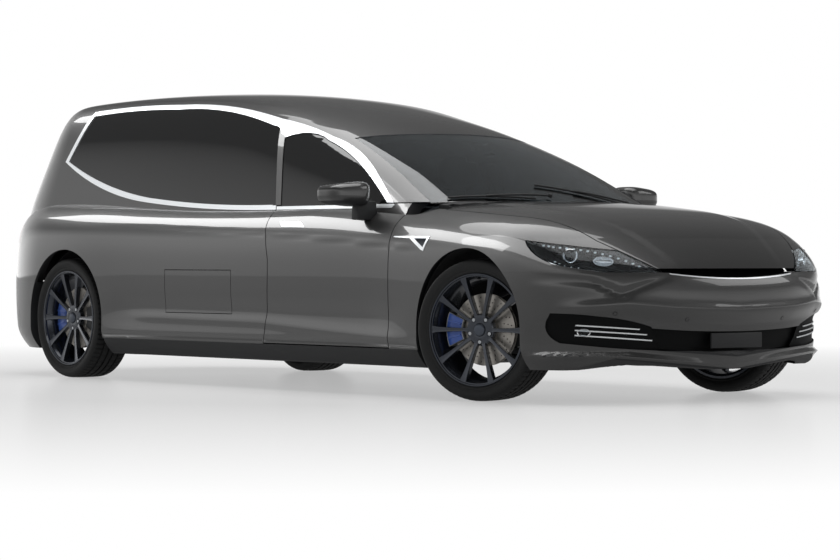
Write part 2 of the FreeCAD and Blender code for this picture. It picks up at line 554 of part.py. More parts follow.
hinge_stays = [box(BULKHEAD_X, 1466 - SEAT_GAP, side * 690 - 12, side * 690 + 12, 935, 960) for side in (-1, 1)]
bulkhead = fused([bulkhead, box(BULKHEAD_X, 1530, -430, 430, 950, 957)] + hinge_stays)
cowl = parts_of(cowl.cut(bulkhead))


def rail(y0, y1):
    """One side's rail pair: a low beam under the suspension, a high beam and two posts."""
    low = box(1650, 2300, y0, y1, 190, 250)
    high = box(BULKHEAD_X + BULKHEAD_PLATE + SEAT_GAP, 2640, y0, y1, 600, 680)
    posts = [box(x, x + 70, y0, y1, 190, 680) for x in (1650, 2230)]
    return fused([low, high] + posts)


front_rails = fused([rail(RAIL_Y0, RAIL_Y1), mirrored(rail(RAIL_Y0, RAIL_Y1)),
                     box(2560, 2640, -RAIL_Y0, RAIL_Y0, 600, 680), box(2640, 2700, -520, 520, 560, 630)])
tub_outer = box(1700, 2500, -RAIL_Y0 + SEAT_GAP, RAIL_Y0 - SEAT_GAP, 450, 790)
trunk_tub = tub_outer.cut(box(1712, 2488, -420, 420, 462, 800))
drive_units = Part.makeCompound([box(1800, 2110, -250, 250, 215, 450 - SEAT_GAP),
                                 box(-1960, -1650, -250, 250, 200, REAR_FLOOR_Z - SEAT_GAP)])

# ---- wheels -------------------------------------------------------------------------------------------------
RIM_SEAT_R = 264.0
RIM_FLANGE_R = 281.0
RIM_HALF = 112.0
SPOKES = 10
DISC_R = 178.0
DISC_Y0, DISC_Y1 = 5.0, 33.0
HUB_FACE_Y = 46.0
SPINDLE_R = 25.0


def turned(profile):
    """A ring round the Y axis from (radius, y) corners."""
    edges = [V(r, y, 0) for r, y in profile + profile[:1]]
    return Part.Face(Part.makePolygon(edges)).revolve(V(0, 0, 0), V(0, 1, 0), 360)


def tyre_shape():
    half = TYRE_WIDTH / 2
    bead = RIM_SEAT_R + SEAT_GAP
    outer = [(bead, 103), (284, 103.5), (293, 116), (305, half - 1), (322, half), (338, half - 8), (348, half - 22), (TYRE_R, 85)]
    inner = [(342, 90), (318, 108), (296, 104), (bead, 84)]
    return turned(outer + [(r, -y) for r, y in reversed(outer)] + [(r, -y) for r, y in reversed(inner)] + inner)


def rim_shape():
    outside = [(RIM_FLANGE_R, RIM_HALF), (RIM_FLANGE_R, 106), (RIM_SEAT_R, 104), (RIM_SEAT_R, 80), (248, 66), (248, -50),
               (RIM_SEAT_R, -78), (RIM_SEAT_R, -104), (RIM_FLANGE_R, -106), (RIM_FLANGE_R, -RIM_HALF)]
    inside = [(254, -100), (238, -50), (238, 66), (254, 96), (268, RIM_HALF)]
    barrel = turned(outside + inside)
    hub = Part.makeCylinder(78, 44, V(0, HUB_FACE_Y, 0), V(0, 1, 0))
    hub = hub.cut(Part.makeCylinder(30, 20, V(0, HUB_FACE_Y - 1, 0), V(0, 1, 0)))
    spoke = Part.Face(Part.makePolygon([V(60, 64, -22), V(256, 64, -13), V(256, 64, 13), V(60, 64, 22), V(60, 64, -22)]))
    spoke = spoke.extrude(V(0, 34, 0))
    spokes = []
    for i in range(SPOKES):
        turned_spoke = spoke.copy()
        turned_spoke.rotate(V(0, 0, 0), V(0, 1, 0), 360.0 / SPOKES * (i + 0.5))
        spokes.append(turned_spoke)
    return fused([barrel, hub] + spokes)


def disc_shape():
    plate = Part.makeCylinder(DISC_R, DISC_Y1 - DISC_Y0, V(0, DISC_Y0, 0), V(0, 1, 0))
    hat = Part.makeCylinder(80, HUB_FACE_Y - SEAT_GAP - DISC_Y0, V(0, DISC_Y0, 0), V(0, 1, 0))
    return fused([plate, hat]).cut(Part.makeCylinder(SPINDLE_R + SEAT_GAP, 100, V(0, -10, 0), V(0, 1, 0)))


def caliper_shape(side):
    """side is +1 ahead of the hub and -1 behind it."""
    body = turned([(118, -32), (214, -32), (214, 54), (118, 54)])
    wedge = Part.Face(Part.makePolygon([V(0, -60, 0), V(side * 400, -60, -175), V(side * 400, -60, 175), V(0, -60, 0)]))
    body = body.common(wedge.extrude(V(0, 200, 0)))
    slot = turned([(10, DISC_Y0 - 5), (DISC_R + 6, DISC_Y0 - 5), (DISC_R + 6, DISC_Y1 + 5), (10, DISC_Y1 + 5)])
    return body.cut(slot)


def knuckle_shape(kingpin_y, side, boss_z, stud_r):
    """The upright that carries a wheel: a web, a spindle, bosses for its two ball studs, and its caliper."""
    web = box(-34, 34, kingpin_y - 20, -6, -boss_z, boss_z)
    spindle = rod(V(0, -60, 0), V(0, HUB_FACE_Y - 4, 0), SPINDLE_R)
    bosses = [rod(V(0, kingpin_y, sign * (boss_z - 30)), V(0, kingpin_y, sign * (boss_z + 4)), 24) for sign in (-1, 1)]
    arm = box(min(side * 20, side * 200), max(side * 20, side * 200), -31, -8, -48, 48)
    shape = fused([web, spindle, arm, caliper_shape(side)] + bosses)
    for sign in (-1, 1):
        shape = shape.cut(rod(V(0, kingpin_y, sign * (boss_z - 24)), V(0, kingpin_y, sign * (boss_z + 40)),
                              stud_r + SEAT_GAP))
    return shape


BOSS_Z = 120.0
STUD_R = 9.0
tyre, rim, disc = tyre_shape(), rim_shape(), disc_shape()
front_knuckle = knuckle_shape(-KINGPIN_INSET, -1, BOSS_Z, STUD_R)
rear_knuckle = knuckle_shape(-KINGPIN_INSET, 1, BOSS_Z, STUD_R)


def on_wheel(shape, axle_x, track, left, steered):
    """A wheel piece, made for the left with its axis along Y, at its place."""
    placed = shape.copy()
    placed.translate(V(axle_x, track / 2, TYRE_R))
    if not left:
        placed = mirrored(placed)
    if steered:
        side = 1 if left else -1
        placed.rotate(V(axle_x, side * (track / 2 - KINGPIN_INSET), 0), V(0, 0, 1), PARKED_STEER)
    return placed


KINGPIN_Y = FRONT_TRACK / 2 - KINGPIN_INSET


def suspension_side(axle_x, kingpin_y, beam_y):
    """Lower and upper arms from the beam to the ball studs, and a strut."""
    shapes = []
    for level, tip, beam_z in ((-1, TYRE_R - BOSS_Z, 215), (1, TYRE_R + BOSS_Z, 625)):
        arm_z = tip + level * 24
        ball = rod(V(axle_x, kingpin_y, arm_z - 9), V(axle_x, kingpin_y, arm_z + 9), 24)
        stud = rod(V(axle_x, kingpin_y, arm_z), V(axle_x, kingpin_y, tip - level * 20), STUD_R)
        spread = 60 if level > 0 else 120
        bars = [rod(V(axle_x + dx, beam_y, beam_z), V(axle_x, kingpin_y, arm_z), 12) for dx in (-spread, spread)]
        shapes.append(fused([ball, stud] + bars).cut(box(axle_x - 400, axle_x + 400, 0, beam_y + SEAT_GAP, 0, 1000)))
    return shapes


front_suspension = Part.makeCompound(suspension_side(FRONT_AXLE_X, KINGPIN_Y, RAIL_Y1))
front_suspension = both(front_suspension)
REAR_KINGPIN_Y = REAR_TRACK / 2 - KINGPIN_INSET
rear_beam_y = 440.0
rear_frame = fused([box(-2300, -1330, rear_beam_y - 60, rear_beam_y, 420, REAR_FLOOR_Z - SEAT_GAP),
                    box(-1960, -1650, rear_beam_y - 60, rear_beam_y, 190, 430)])
rear_arms = []
for arm_z in (TYRE_R - BOSS_Z + 8, TYRE_R + 110):
    rear_arms.append(fused([rod(V(REAR_AXLE_X + dx, rear_beam_y - 5, arm_z), V(REAR_AXLE_X, REAR_KINGPIN_Y, arm_z), 13)
                            for dx in (-90, 90)]))
rear_knuckle_left = on_wheel(rear_knuckle, REAR_AXLE_X, REAR_TRACK, True, False)
rear_side = fused([rear_frame, rear_knuckle_left] + rear_arms)
rear_side = rear_side.cut(rod(V(REAR_AXLE_X, rear_beam_y - 70, TYRE_R), V(REAR_AXLE_X, rear_beam_y + 10, TYRE_R), 26))
rear_suspension = both(rear_side)


def half_shaft(axle_x, y0, y1):
    return fused([rod(V(axle_x, y0, TYRE_R), V(axle_x, y1, TYRE_R), 16), rod(V(axle_x, y0, TYRE_R),
                                                                             V(axle_x, y0 + 60, TYRE_R), 42)])


drive_shafts = Part.makeCompound([both(half_shaft(FRONT_AXLE_X, 250 + SEAT_GAP, 735)),
                                  both(half_shaft(REAR_AXLE_X, 250 + SEAT_GAP, 762))])


def liner(axle_x, y0, y1):
    """A wheel well: an arched shell with a wall on its inner side."""
    shell = Part.makeCylinder(ARCH_R + 8, y1 - y0, V(axle_x, y0, ARCH_Z), V(0, 1, 0))
    shell = shell.cut(Part.makeCylinder(ARCH_R + 1, y1 - y0, V(axle_x, y0 + 7, ARCH_Z), V(0, 1, 0)))
    return shell.common(box(axle_x - 500, axle_x + 500, 0, 1400, 330, 1000)).cut(
        box(axle_x - 300, axle_x + 300, 0, y0 + 8, 0, 660))


front_liners = cut_by(both(liner(FRONT_AXLE_X, 500, 935)),
                      [box(2230, 2400, 878, 1000, 0, 636), box(2230, 2400, -1000, -878, 0, 636),
                       box(1400, 2700, -RAIL_Y1 - SEAT_GAP, RAIL_Y1 + SEAT_GAP, 150, 700)])
rear_liners = both(liner(REAR_AXLE_X, 480 + SEAT_GAP, 876))

# ---- cabin and load bay -------------------------------------------------------------------------------------
FLOOR_TOP_Z = FLOOR_Z + FLOOR_PLATE + SEAT_GAP
DECK_TOP_Z = 600.0
WHEEL_HUB = V(905, 380, 850)


def seat_shape(y):
    """A front seat as it stands: base, cushion, back and head restraint."""
    side = outline([(300, 330), (860, 330), ((880, 400), (850, 455)), ((600, 420), (400, 440)), (235, 1060),
                    ((200, 1090), (150, 1070)), (150, 1050), (270, 400)], lambda x, z: V(x, y - 250, z))
    body = side.extrude(V(0, 500, 0))
    head = outline([(140, 1105), ((150, 1270), (185, 1290)), ((250, 1270), (255, 1110))],
                   lambda x, z: V(x, y - 130, z)).extrude(V(0, 260, 0))
    posts = [rod(V(196, y + dy, 1060), V(205, y + dy, 1130), 8) for dy in (-60, 60)]
    feet = [box(320, 840, y + dy - 25, y + dy + 25, FLOOR_TOP_Z, 331) for dy in (-190, 190)]
    return fused([body, head] + posts + feet)


front_seats = both(seat_shape(380))
dash_side = [(1040, 700), (1010, 880), ((1080, 965), (1180, 968)), (BULKHEAD_X - SEAT_GAP, 968),
             (BULKHEAD_X - SEAT_GAP, 560), (1240, 560)]
dashboard = outline(dash_side, lambda x, z: V(x, -725, z)).extrude(V(0, 1450, 0))
dashboard = fused([dashboard, box(420, 1200, -130, 130, FLOOR_TOP_Z, 560), box(1010, 1200, -130, 130, 540, 800)])
dashboard = dashboard.common(fused([lower_loft(SIDE_WALL + 12, 30, 60)]))
axle_dir = V(0.93, 0, -0.3676)
ring = Part.makeTorus(180, 15, V(0, 0, 0), V(1, 0, 0))
spokes = [box(-10, 10, -172, 172, -16, 16), box(-10, 10, -18, 18, -172, 0)]
wheel_ring = fused([ring, Part.makeCylinder(62, 60, V(-22, 0, 0), V(1, 0, 0))] + spokes)
column = Part.makeCylinder(32, 130, V(20, 0, 0), V(1, 0, 0))
steering_wheel = fused([wheel_ring, column])
steering_wheel.rotate(V(0, 0, 0), V(0, 1, 0), 21.6)
steering_wheel.translate(WHEEL_HUB)
steering_wheel = steering_wheel.cut(box(1009 - 40, 1400, 0, 900, 560, 1000).common(dashboard))

deck_plate = box(-2650, -170, -470, 470, DECK_TOP_Z - 30, DECK_TOP_Z)
deck_feet = [box(x, x + 60, y - 30, y + 30, REAR_FLOOR_Z + FLOOR_PLATE + SEAT_GAP, DECK_TOP_Z - 29)
             for x in (-2600, -1800, -1360) for y in (-400, 400)]
deck_legs = [box(x, x + 60, y - 30, y + 30, FLOOR_TOP_Z, DECK_TOP_Z - 29) for x in (-1180, -260) for y in (-400, 400)]
rollers = [rod(V(x, -340, DECK_TOP_Z + 8), V(x, 340, DECK_TOP_Z + 8), 22) for x in range(-2600, -200, 400)]
bier_deck = fused([deck_plate] + deck_feet + deck_legs + rollers)

mirror_outline = [(925, 1000), ((960, 975), (1010, 985)), ((1075, 1010), (1085, 1040)), ((1060, 1085), (990, 1090)),
                  ((935, 1085), (925, 1060))]
mirror_body = outline(mirror_outline, lambda x, z: V(x, 925, z)).extrude(V(0, 175, 0))
mirror_foot = outline([(1010, 900), (1085, 900), (1060, 1012), (1020, 1012)], lambda x, z: V(x, 838, z)).extrude(
    V(0, 110, 0))
mirror_left = fused([mirror_body, mirror_foot]).cut(door_left.translated(V(0, SEAT_GAP, 0)))
mirror_left = max(mirror_left.Solids, key=lambda solid: solid.Volume)

brackets = [hinge[1] for hinge in door_hinge] + [hood_hinge[1], gate_hinge[1]]
hinge_brackets = both(Part.makeCompound(brackets))
tailgate = fused([parts_of(tailgate_shell), gate_hinge[0], mirrored(gate_hinge[0])])

pieces = {
    "floor_pan": floor_pan, "battery_pack": battery_pack, "sills": both(sill_left), "body_side_left": body_side_left,
    "body_side_right": mirrored(body_side_left), "roof": roof, "windscreen": windscreen,
    "side_windows": both(side_glass_left), "front_fenders": both(fender_left), "front_bumper": bumper,
    "rear_bumper": rear_bumper, "headlamps": both(headlamp_left), "tail_lamps": both(tail_lamp_left),
    "grilles": grilles, "bulkhead": bulkhead, "cowl": cowl, "front_rails": front_rails,
    "front_trunk_tub": trunk_tub, "drive_units": drive_units, "drive_shafts": drive_shafts,
    "front_suspension": front_suspension, "rear_suspension": rear_suspension, "front_wheel_liners": front_liners,
    "rear_wheel_liners": rear_liners,
    "dashboard": dashboard, "steering_wheel": steering_wheel, "front_seats": front_seats, "bier_deck": bier_deck,
    "hinge_brackets": hinge_brackets, "hood": hood, "tailgate": tailgate, "tailgate_glass": glass_gate,
    "knuckle_left": on_wheel(front_knuckle, FRONT_AXLE_X, FRONT_TRACK, True, True),
    "knuckle_right": on_wheel(front_knuckle, FRONT_AXLE_X, FRONT_TRACK, False, True),
}
for side, left in (("left", True), ("right", False)):
    for name, shape in (("door", door_left), ("door_glass", door_glass_left), ("mirror", mirror_left),
                        ("side_hatch", side_hatch_left)):
        pieces[name + "_" + side] = shape if left else mirrored(shape)
    for end, axle_x, track in (("front", FRONT_AXLE_X, FRONT_TRACK), ("rear", REAR_AXLE_X, REAR_TRACK)):
        for name, shape in (("tyre", tyre), ("rim", rim), ("brake_disc", disc)):
            pieces[name + "_" + end + "_" + side] = on_wheel(shape, axle_x, track, left, end == "front")

for name, shape in pieces.items():
    extent = shape.BoundBox
    print(name, shape.isValid(), len(shape.Solids), round(shape.Volume / 1e6, 2),
          [round(v) for v in (extent.XMin, extent.XMax, extent.YMin, extent.YMax, extent.ZMin, extent.ZMax)])
    shape.exportStep("parts/" + name + ".step")
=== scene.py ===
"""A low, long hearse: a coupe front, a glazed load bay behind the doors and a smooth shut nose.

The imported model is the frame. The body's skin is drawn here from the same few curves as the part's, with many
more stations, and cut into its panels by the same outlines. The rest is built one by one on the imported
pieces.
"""
import json
import math

import bmesh
import bpy
import numpy as np
from mathutils import Matrix, Vector

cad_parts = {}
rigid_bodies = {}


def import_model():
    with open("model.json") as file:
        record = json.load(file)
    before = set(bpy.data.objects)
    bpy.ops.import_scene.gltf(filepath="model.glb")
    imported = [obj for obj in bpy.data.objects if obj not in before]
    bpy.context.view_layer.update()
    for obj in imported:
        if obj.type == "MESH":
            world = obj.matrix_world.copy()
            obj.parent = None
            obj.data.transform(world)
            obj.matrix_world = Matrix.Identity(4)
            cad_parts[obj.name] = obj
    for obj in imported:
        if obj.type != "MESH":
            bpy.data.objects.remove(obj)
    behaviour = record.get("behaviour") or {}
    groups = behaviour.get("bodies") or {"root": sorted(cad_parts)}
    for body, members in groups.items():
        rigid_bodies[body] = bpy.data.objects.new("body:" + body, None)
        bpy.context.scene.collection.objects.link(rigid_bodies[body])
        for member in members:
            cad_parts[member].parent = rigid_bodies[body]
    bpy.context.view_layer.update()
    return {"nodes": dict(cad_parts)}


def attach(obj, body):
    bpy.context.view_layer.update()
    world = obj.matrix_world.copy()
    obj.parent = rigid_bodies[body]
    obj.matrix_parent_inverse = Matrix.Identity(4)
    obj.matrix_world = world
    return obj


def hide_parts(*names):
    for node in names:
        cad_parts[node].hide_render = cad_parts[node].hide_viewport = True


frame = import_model()
bpy.ops.object.select_all(action="DESELECT")

MM = 0.001
FRONT_AXLE_X, REAR_AXLE_X = 1955.0, -1805.0
TYRE_R, TYRE_WIDTH = 352.0, 245.0
FRONT_TRACK, REAR_TRACK = 1660.0, 1686.0
PARKED_STEER = math.radians(17.5)
KINGPIN_INSET = 20.0
ARCH_R, ARCH_Z = 395.0, 360.0
SILL_BOTTOM_Z, SILL_TOP_Z = 152.0, 244.0
MOVING_GAP, SEAT_GAP = 6.0, 0.3
BELT_Z = 985.0
DOOR_FRONT_X = 1308.0
NOSE_SEAM_Z = 635.0
GATE_BOTTOM_Z, BUMPER_TOP_Z, GATE_LIP_Z = 566.0, 560.0, 1606.0
ROOF_SIDE_Y, ROOF_REAR_X = 572.0, -2440.0
REAR_BUMPER_X, FRONT_BUMPER_X = -2150.0, 2140.0      # where each bumper ends towards the wheels
SILL_ARCH_GAP = 6.0

# ---- the body's skin, in millimetres, as curves of (place, size) -----------------------------------------
WAIST_ROWS = [(-2900, 955), (-2300, 974), (-1805, 984), (-1300, 966), (-700, 952), (0, 948), (700, 948),
              (1300, 958), (1650, 974), (1955, 982), (2300, 972), (2900, 955)]
NOSE_ROWS = [(165, 2845), (240, 2865), (330, 2872), (430, 2885), (530, 2888), (600, 2880), (660, 2860),
             (760, 2790)]
TAIL_ROWS = [(165, -2780), (300, -2850), (450, -2883), (620, -2885), (800, -2868), (950, -2835),
             (1030, -2805), (1100, -2780)]
DECK_ROWS = [(-2900, 1110), (-1805, 1100), (-1000, 1075), (0, 1060), (900, 1050), (1500, 1003), (1700, 992),
             (2000, 965), (2300, 925), (2500, 872), (2700, 792), (2800, 735), (2900, 665)]
ROOF_ROWS = [(-2495, 1648), (-2245, 1662), (-1845, 1674), (-1345, 1674), (-945, 1662), (-445, 1624),
             (55, 1548), (505, 1440), (755, 1355), (1055, 1235), (1355, 1103), (1595, 995)]
TAIL_GLASS_ROWS = [(1000, -2775), (1030, -2765), (1300, -2650), (1500, -2560), (1650, -2480)]
SHOULDER_START_Z, SHOULDER_POWER = 500.0, 5.0
NOSE_START_X, NOSE_POWER = 2155.0, 2.4
TAIL_START_X, TAIL_POWER = -2085.0, 2.6
CABIN_HALF_WIDTH, CABIN_LEAN, CABIN_POWER = 820.0, 0.30, 13.0
CABIN_FLOOR_Z, CABIN_FOOT_Z, CABIN_FRONT_X = 700.0, 640.0, 1780.0
CABIN_TAIL_START_X, CABIN_TAIL_POWER = -2150.0, 3.2
SCREEN_SWEEP, ROOF_CROWN, HOOD_CROWN = 0.00039, 0.00011, 0.000035
BODY_FLOOR_Z = 120.0        # below this the lower body's skin doesn't change
RELIEF_DEPTH = 720.0        # from the nose's middle to its skin: turns its relief into a share
STATION_STEP = 26.0         # between two sections of the skin
ARC_STEP = 60.0             # the longest chord on an outline's arc


def smooth_curve(rows):
    """A natural cubic through the rows, straight beyond both ends."""
    places, sizes = np.array(rows, float).T
    steps = np.diff(places)
    rises = np.diff(sizes) / steps
    count = len(places)
    system = np.eye(count)
    change = np.zeros(count)
    for i in range(1, count - 1):
        system[i, i - 1:i + 2] = steps[i - 1], 2 * (steps[i - 1] + steps[i]), steps[i]
        change[i] = 6 * (rises[i] - rises[i - 1])
    bend = np.linalg.solve(system, change)
    first_slope = rises[0] - steps[0] * bend[1] / 6
    last_slope = rises[-1] + steps[-1] * bend[-2] / 6

    def value(place):
        place = np.asarray(place, float)
        i = np.clip(np.searchsorted(places, place) - 1, 0, count - 2)
        a = (places[i + 1] - place) / steps[i]
        b = 1 - a
        curved = ((a ** 3 - a) * bend[i] + (b ** 3 - b) * bend[i + 1]) * steps[i] ** 2 / 6
        inside = a * sizes[i] + b * sizes[i + 1] + curved
        below = sizes[0] + first_slope * (place - places[0])
        beyond = sizes[-1] + last_slope * (place - places[-1])
        return np.where(place < places[0], below, np.where(place > places[-1], beyond, inside))
    return value


waist = smooth_curve(WAIST_ROWS)
nose_x = smooth_curve(NOSE_ROWS)
tail_x = smooth_curve(TAIL_ROWS)
deck_z = smooth_curve(DECK_ROWS)
roof_line = smooth_curve(ROOF_ROWS)
tail_glass_x = smooth_curve(TAIL_GLASS_ROWS)


def ease(t):
    t = np.clip(t, 0.0, 1.0)
    return t * t * (3 - 2 * t)


def side_half_width(x, z):
    """Half width of the lower body, before its shoulder and ends round off."""
    tuck = 0.0036 * np.maximum(300.0 - np.maximum(z, BODY_FLOOR_Z), 0.0) ** 2
    along_door = ease((x + 1500) / 400) * ease((1500 - x) / 400)
    return waist(x) - tuck - 10.0 * along_door * np.exp(-((z - 400) / 85) ** 2) + side_relief(x, z)


def side_relief(x, z):
    """The drawn lines of the side: the shoulder line, the lower feature line and the skirt's top edge."""
    shoulder_line = np.interp(x, [-1700, -971, 131, 783, 1342, 1700], [905, 887, 840, 805, 771, 745])
    shoulder = 4.5 * ease((z - shoulder_line + 16) / 26) * ease((985 - z) / 90)
    shoulder = shoulder * ease((x + 1750) / 700) * ease((1640 - x) / 250)
    lower_line = np.interp(x, [-1300, 148, 880, 1533], [400, 387, 347, 314])
    feature = 5.0 * np.exp(-((z - lower_line + 22) / 30) ** 2) * ease((x + 1350) / 500) * ease((1540 - x) / 250)
    skirt = 5.0 * ease((262 - z) / 9) * ease((x + 1420) / 60) * ease((1570 - x) / 60)
    return shoulder + feature + skirt


def nose_relief(x, y, z):
    """The drawn lines of the hood and the front bumper."""
    across = np.abs(y)
    dome = np.interp(x, [1450, 2400, 2860], [560, 470, 330])
    hood = (9.0 * ease((dome + 40 - across) / 70) * ease((x - 1480) / 300) * ease((2860 - x) / 180)
            * ease((z - 600) / 90))
    on_nose = ease((x - 2360) / 140) * ease((640 - z) / 60)
    valley_z = np.interp(across, [0, 387, 523, 649, 765, 937], [640, 622, 567, 519, 582, 612])
    valley = -9.0 * np.exp(-((z - valley_z - 14) / 22) ** 2) * ease((across - 330) / 100)
    ridge_z = np.interp(across, [0, 404, 633, 806, 930], [452, 466, 487, 470, 462])
    ridge = 9.0 * np.exp(-((z - ridge_z) / 26) ** 2) * ease((900 - across) / 120)
    brow = -16.0 * ease((ridge_z - 18 - z) / 60) * ease((z - 235) / 20)
    lip = 9.0 * np.exp(-((z - 236) / 15) ** 2)
    return hood + on_nose * (valley + ridge + brow + lip) * ease((z - 150) / 40)


def lower_skin(x, y, z):
    """Below 0 inside the lower body, 0 on its skin."""
    front = np.maximum(x - NOSE_START_X, 0) / (nose_x(np.clip(z, BODY_FLOOR_Z, 800.0)) - NOSE_START_X)
    rear = np.maximum(TAIL_START_X - x, 0) / (TAIL_START_X - tail_x(np.clip(z, BODY_FLOOR_Z, 1150.0)))
    power = np.where(x > 0, NOSE_POWER, TAIL_POWER)
    across = np.abs(y) / side_half_width(x, z)
    plan = (np.maximum(front, rear) ** power + across ** power) ** (1 / power)
    height = np.maximum(deck_z(x) - HOOD_CROWN * y * y - SHOULDER_START_Z, 5.0)
    rise = np.maximum(0.0, z - SHOULDER_START_Z) / height
    shape = (plan ** SHOULDER_POWER + rise ** SHOULDER_POWER) ** (1 / SHOULDER_POWER) - 1
    return shape - nose_relief(x, y, z) / RELIEF_DEPTH


def cabin_skin(x, y, z):
    """Below 0 inside the glazed upper body, 0 on its skin."""
    half_width = CABIN_HALF_WIDTH - CABIN_LEAN * (z - 1000) + 8 * ease((-x - 1000) / 1500)
    across = np.abs(y) / np.maximum(half_width, 50.0)
    rear_z = np.maximum(z, 1000.0)
    rear = np.maximum(CABIN_TAIL_START_X - x, 0) / np.maximum(CABIN_TAIL_START_X - tail_glass_x(rear_z), 50.0)
    plan = (rear ** CABIN_TAIL_POWER + across ** CABIN_TAIL_POWER) ** (1 / CABIN_TAIL_POWER)
    top = roof_line(x + SCREEN_SWEEP * y * y * ease((x + 400) / 600))
    top = top - ROOF_CROWN * ease((1100 - x) / 900) * y * y
    rise = np.maximum(0.0, z - CABIN_FLOOR_Z) / np.maximum(top - CABIN_FLOOR_Z, 5.0)
    return (plan ** CABIN_POWER + rise ** CABIN_POWER) ** (1 / CABIN_POWER) - 1


def skin_normals(skin, points):
    """Unit normals of a skin at the points, and how far the points are from it, in millimetres."""
    x, y, z = points.T
    step = 0.5
    slope = np.stack([skin(x + step, y, z) - skin(x - step, y, z),
                      skin(x, y + step, z) - skin(x, y - step, z),
                      skin(x, y, z + step) - skin(x, y, z - step)], axis=1) / (2 * step)
    size = np.maximum(np.linalg.norm(slope, axis=1), 1e-9)
    return slope / size[:, None], skin(x, y, z) / size


def reach(skin, origins, rays):
    """The points where rays from inside leave the skin."""
    low = np.zeros(len(rays))
    high = np.full(len(rays), 1.7)
    for _ in range(34):
        middle = (low + high) / 2
        at = origins + rays * middle[:, None]
        inside = skin(at[:, 0], at[:, 1], at[:, 2]) < 0
        low = np.where(inside, middle, low)
        high = np.where(inside, high, middle)
    return origins + rays * low[:, None]


def half_section(width, height, depth, power, flat, corner_steps, flat_steps, foot_steps):
    """Rays from a station's middle to its skin, from the crown down one side to the foot."""
    crown = np.linspace(0, flat, flat_steps, endpoint=False)
    crown_rays = np.stack([crown, (1 - crown ** power) ** (1 / power)], axis=1)
    turn = math.acos(flat ** (power / 2))
    turns = np.linspace(turn, math.pi / 2 - turn, corner_steps)
    corner_rays = np.stack([np.cos(turns) ** (2 / power), np.sin(turns) ** (2 / power)], axis=1)
    side = np.linspace(flat, 0, flat_steps + 1)[1:]
    side_rays = np.stack([(1 - side ** power) ** (1 / power), side], axis=1)
    rays = np.concatenate([crown_rays, corner_rays, side_rays]) * (width, height)
    foot = np.linspace(0, -depth, foot_steps + 1)[1:]
    return np.concatenate([rays, np.stack([np.full(foot_steps, width), foot], axis=1), [(0.0, -depth)]])


def new_mesh(name, points, faces):
    """A mesh object from points in millimetres."""
    mesh = bpy.data.meshes.new(name)
    mesh.from_pydata([tuple(p) for p in np.asarray(points) * MM], [], [tuple(f) for f in faces])
    mesh.validate()
    thing = bpy.data.objects.new(name, mesh)
    bpy.context.scene.collection.objects.link(thing)
    return thing


reached = {}        # points already worked out, by skin and floor height


def body_solid(name, skin, stations, base_z, section, front, rear, insets, key):
    """A closed solid of a skin, sunk by insets (side, top, end).

    front and rear are each end's (start x, length, steps), with no steps for a flat end.
    """
    origins, rays, ends = [], [], []
    full = np.concatenate([section, (section * (-1, 1))[-2:0:-1]])
    for (start, length, steps), sign in ((rear, -1), (front, 1)):
        block = []
        for k in range(steps):
            turn = math.radians(90.0 * (k + 1) / steps)
            block.append((start, sign * length * math.sin(turn), math.cos(turn)))
        ends.append(block[::-1] if sign < 0 else block)
    rows = ends[0] + [(x, 0.0, 1.0) for x in stations] + ends[1]
    for start, along, share in rows:
        origins.append(np.tile((start, 0.0, base_z), (len(full), 1)))
        rays.append(np.column_stack([np.full(len(full), along), full * share]))
    origins, rays = np.concatenate(origins), np.concatenate(rays)
    if key not in reached:
        reached[key] = reach(skin, origins, rays)
    points = reached[key].copy()
    side_inset, top_inset, end_inset = insets
    if side_inset:
        offsets = points - origins
        rings = offsets.reshape(len(rows), len(full), 3)
        flank = np.abs(rings[:, :, 1]).max(axis=1)[:, None]
        crest = rings[:, :, 2].max(axis=1)[:, None]
        span = max(front[1], 1.0)
        rings[:, :, 1] *= np.maximum(1 - side_inset / np.maximum(flank, abs(side_inset) * 1.01 + 0.1), 0.01)
        rings[:, :, 2] *= np.where(rings[:, :, 2] > 0,
                                   1 - top_inset / np.maximum(crest, abs(top_inset) * 1.01 + 0.1), 1)
        rings[:, :, 0] *= 1 - end_inset / span
        points = rings.reshape(-1, 3) + origins
    count, rounds = len(full), len(rows)
    faces = []
    for r in range(rounds - 1):
        for c in range(count):
            n = (c + 1) % count
            faces.append((r * count + c, r * count + n, (r + 1) * count + n, (r + 1) * count + c))
    if not rear[2]:
        faces.append(tuple(range(count))[::-1])
    if not front[2]:
        faces.append(tuple(range((rounds - 1) * count, rounds * count)))
    solid = new_mesh(name, points, faces)
    tidy(solid)
    return solid


def tidy(thing, merge=0.02):
    """Joins doubled points and turns the faces outwards."""
    shape = bmesh.new()
    shape.from_mesh(thing.data)
    bmesh.ops.remove_doubles(shape, verts=shape.verts, dist=merge * MM)
    bmesh.ops.dissolve_degenerate(shape, edges=shape.edges, dist=1e-7)
    bmesh.ops.recalc_face_normals(shape, faces=shape.faces)
    shape.to_mesh(thing.data)
    shape.free()


def lower_solid(name, side_inset=0.0, top_inset=0.0, end_inset=0.0, floor_z=SILL_BOTTOM_Z):
    """The lower body as a closed solid, sunk below its skin or, below 0, raised over it."""
    section = half_section(950.0, 520.0, 1.12 * (SHOULDER_START_Z - floor_z), SHOULDER_POWER, 0.62,
                           26, 14, 44)

    def skin(x, y, z):
        return np.maximum(lower_skin(x, y, z), (floor_z - z) / 400)
    stations = np.linspace(TAIL_START_X, NOSE_START_X, int((NOSE_START_X - TAIL_START_X) / STATION_STEP))
    return body_solid(name, skin, stations, SHOULDER_START_Z, section, (NOSE_START_X, 740.0, 72),
                      (TAIL_START_X, 800.0, 34), (side_inset, top_inset, end_inset), ("lower", floor_z))


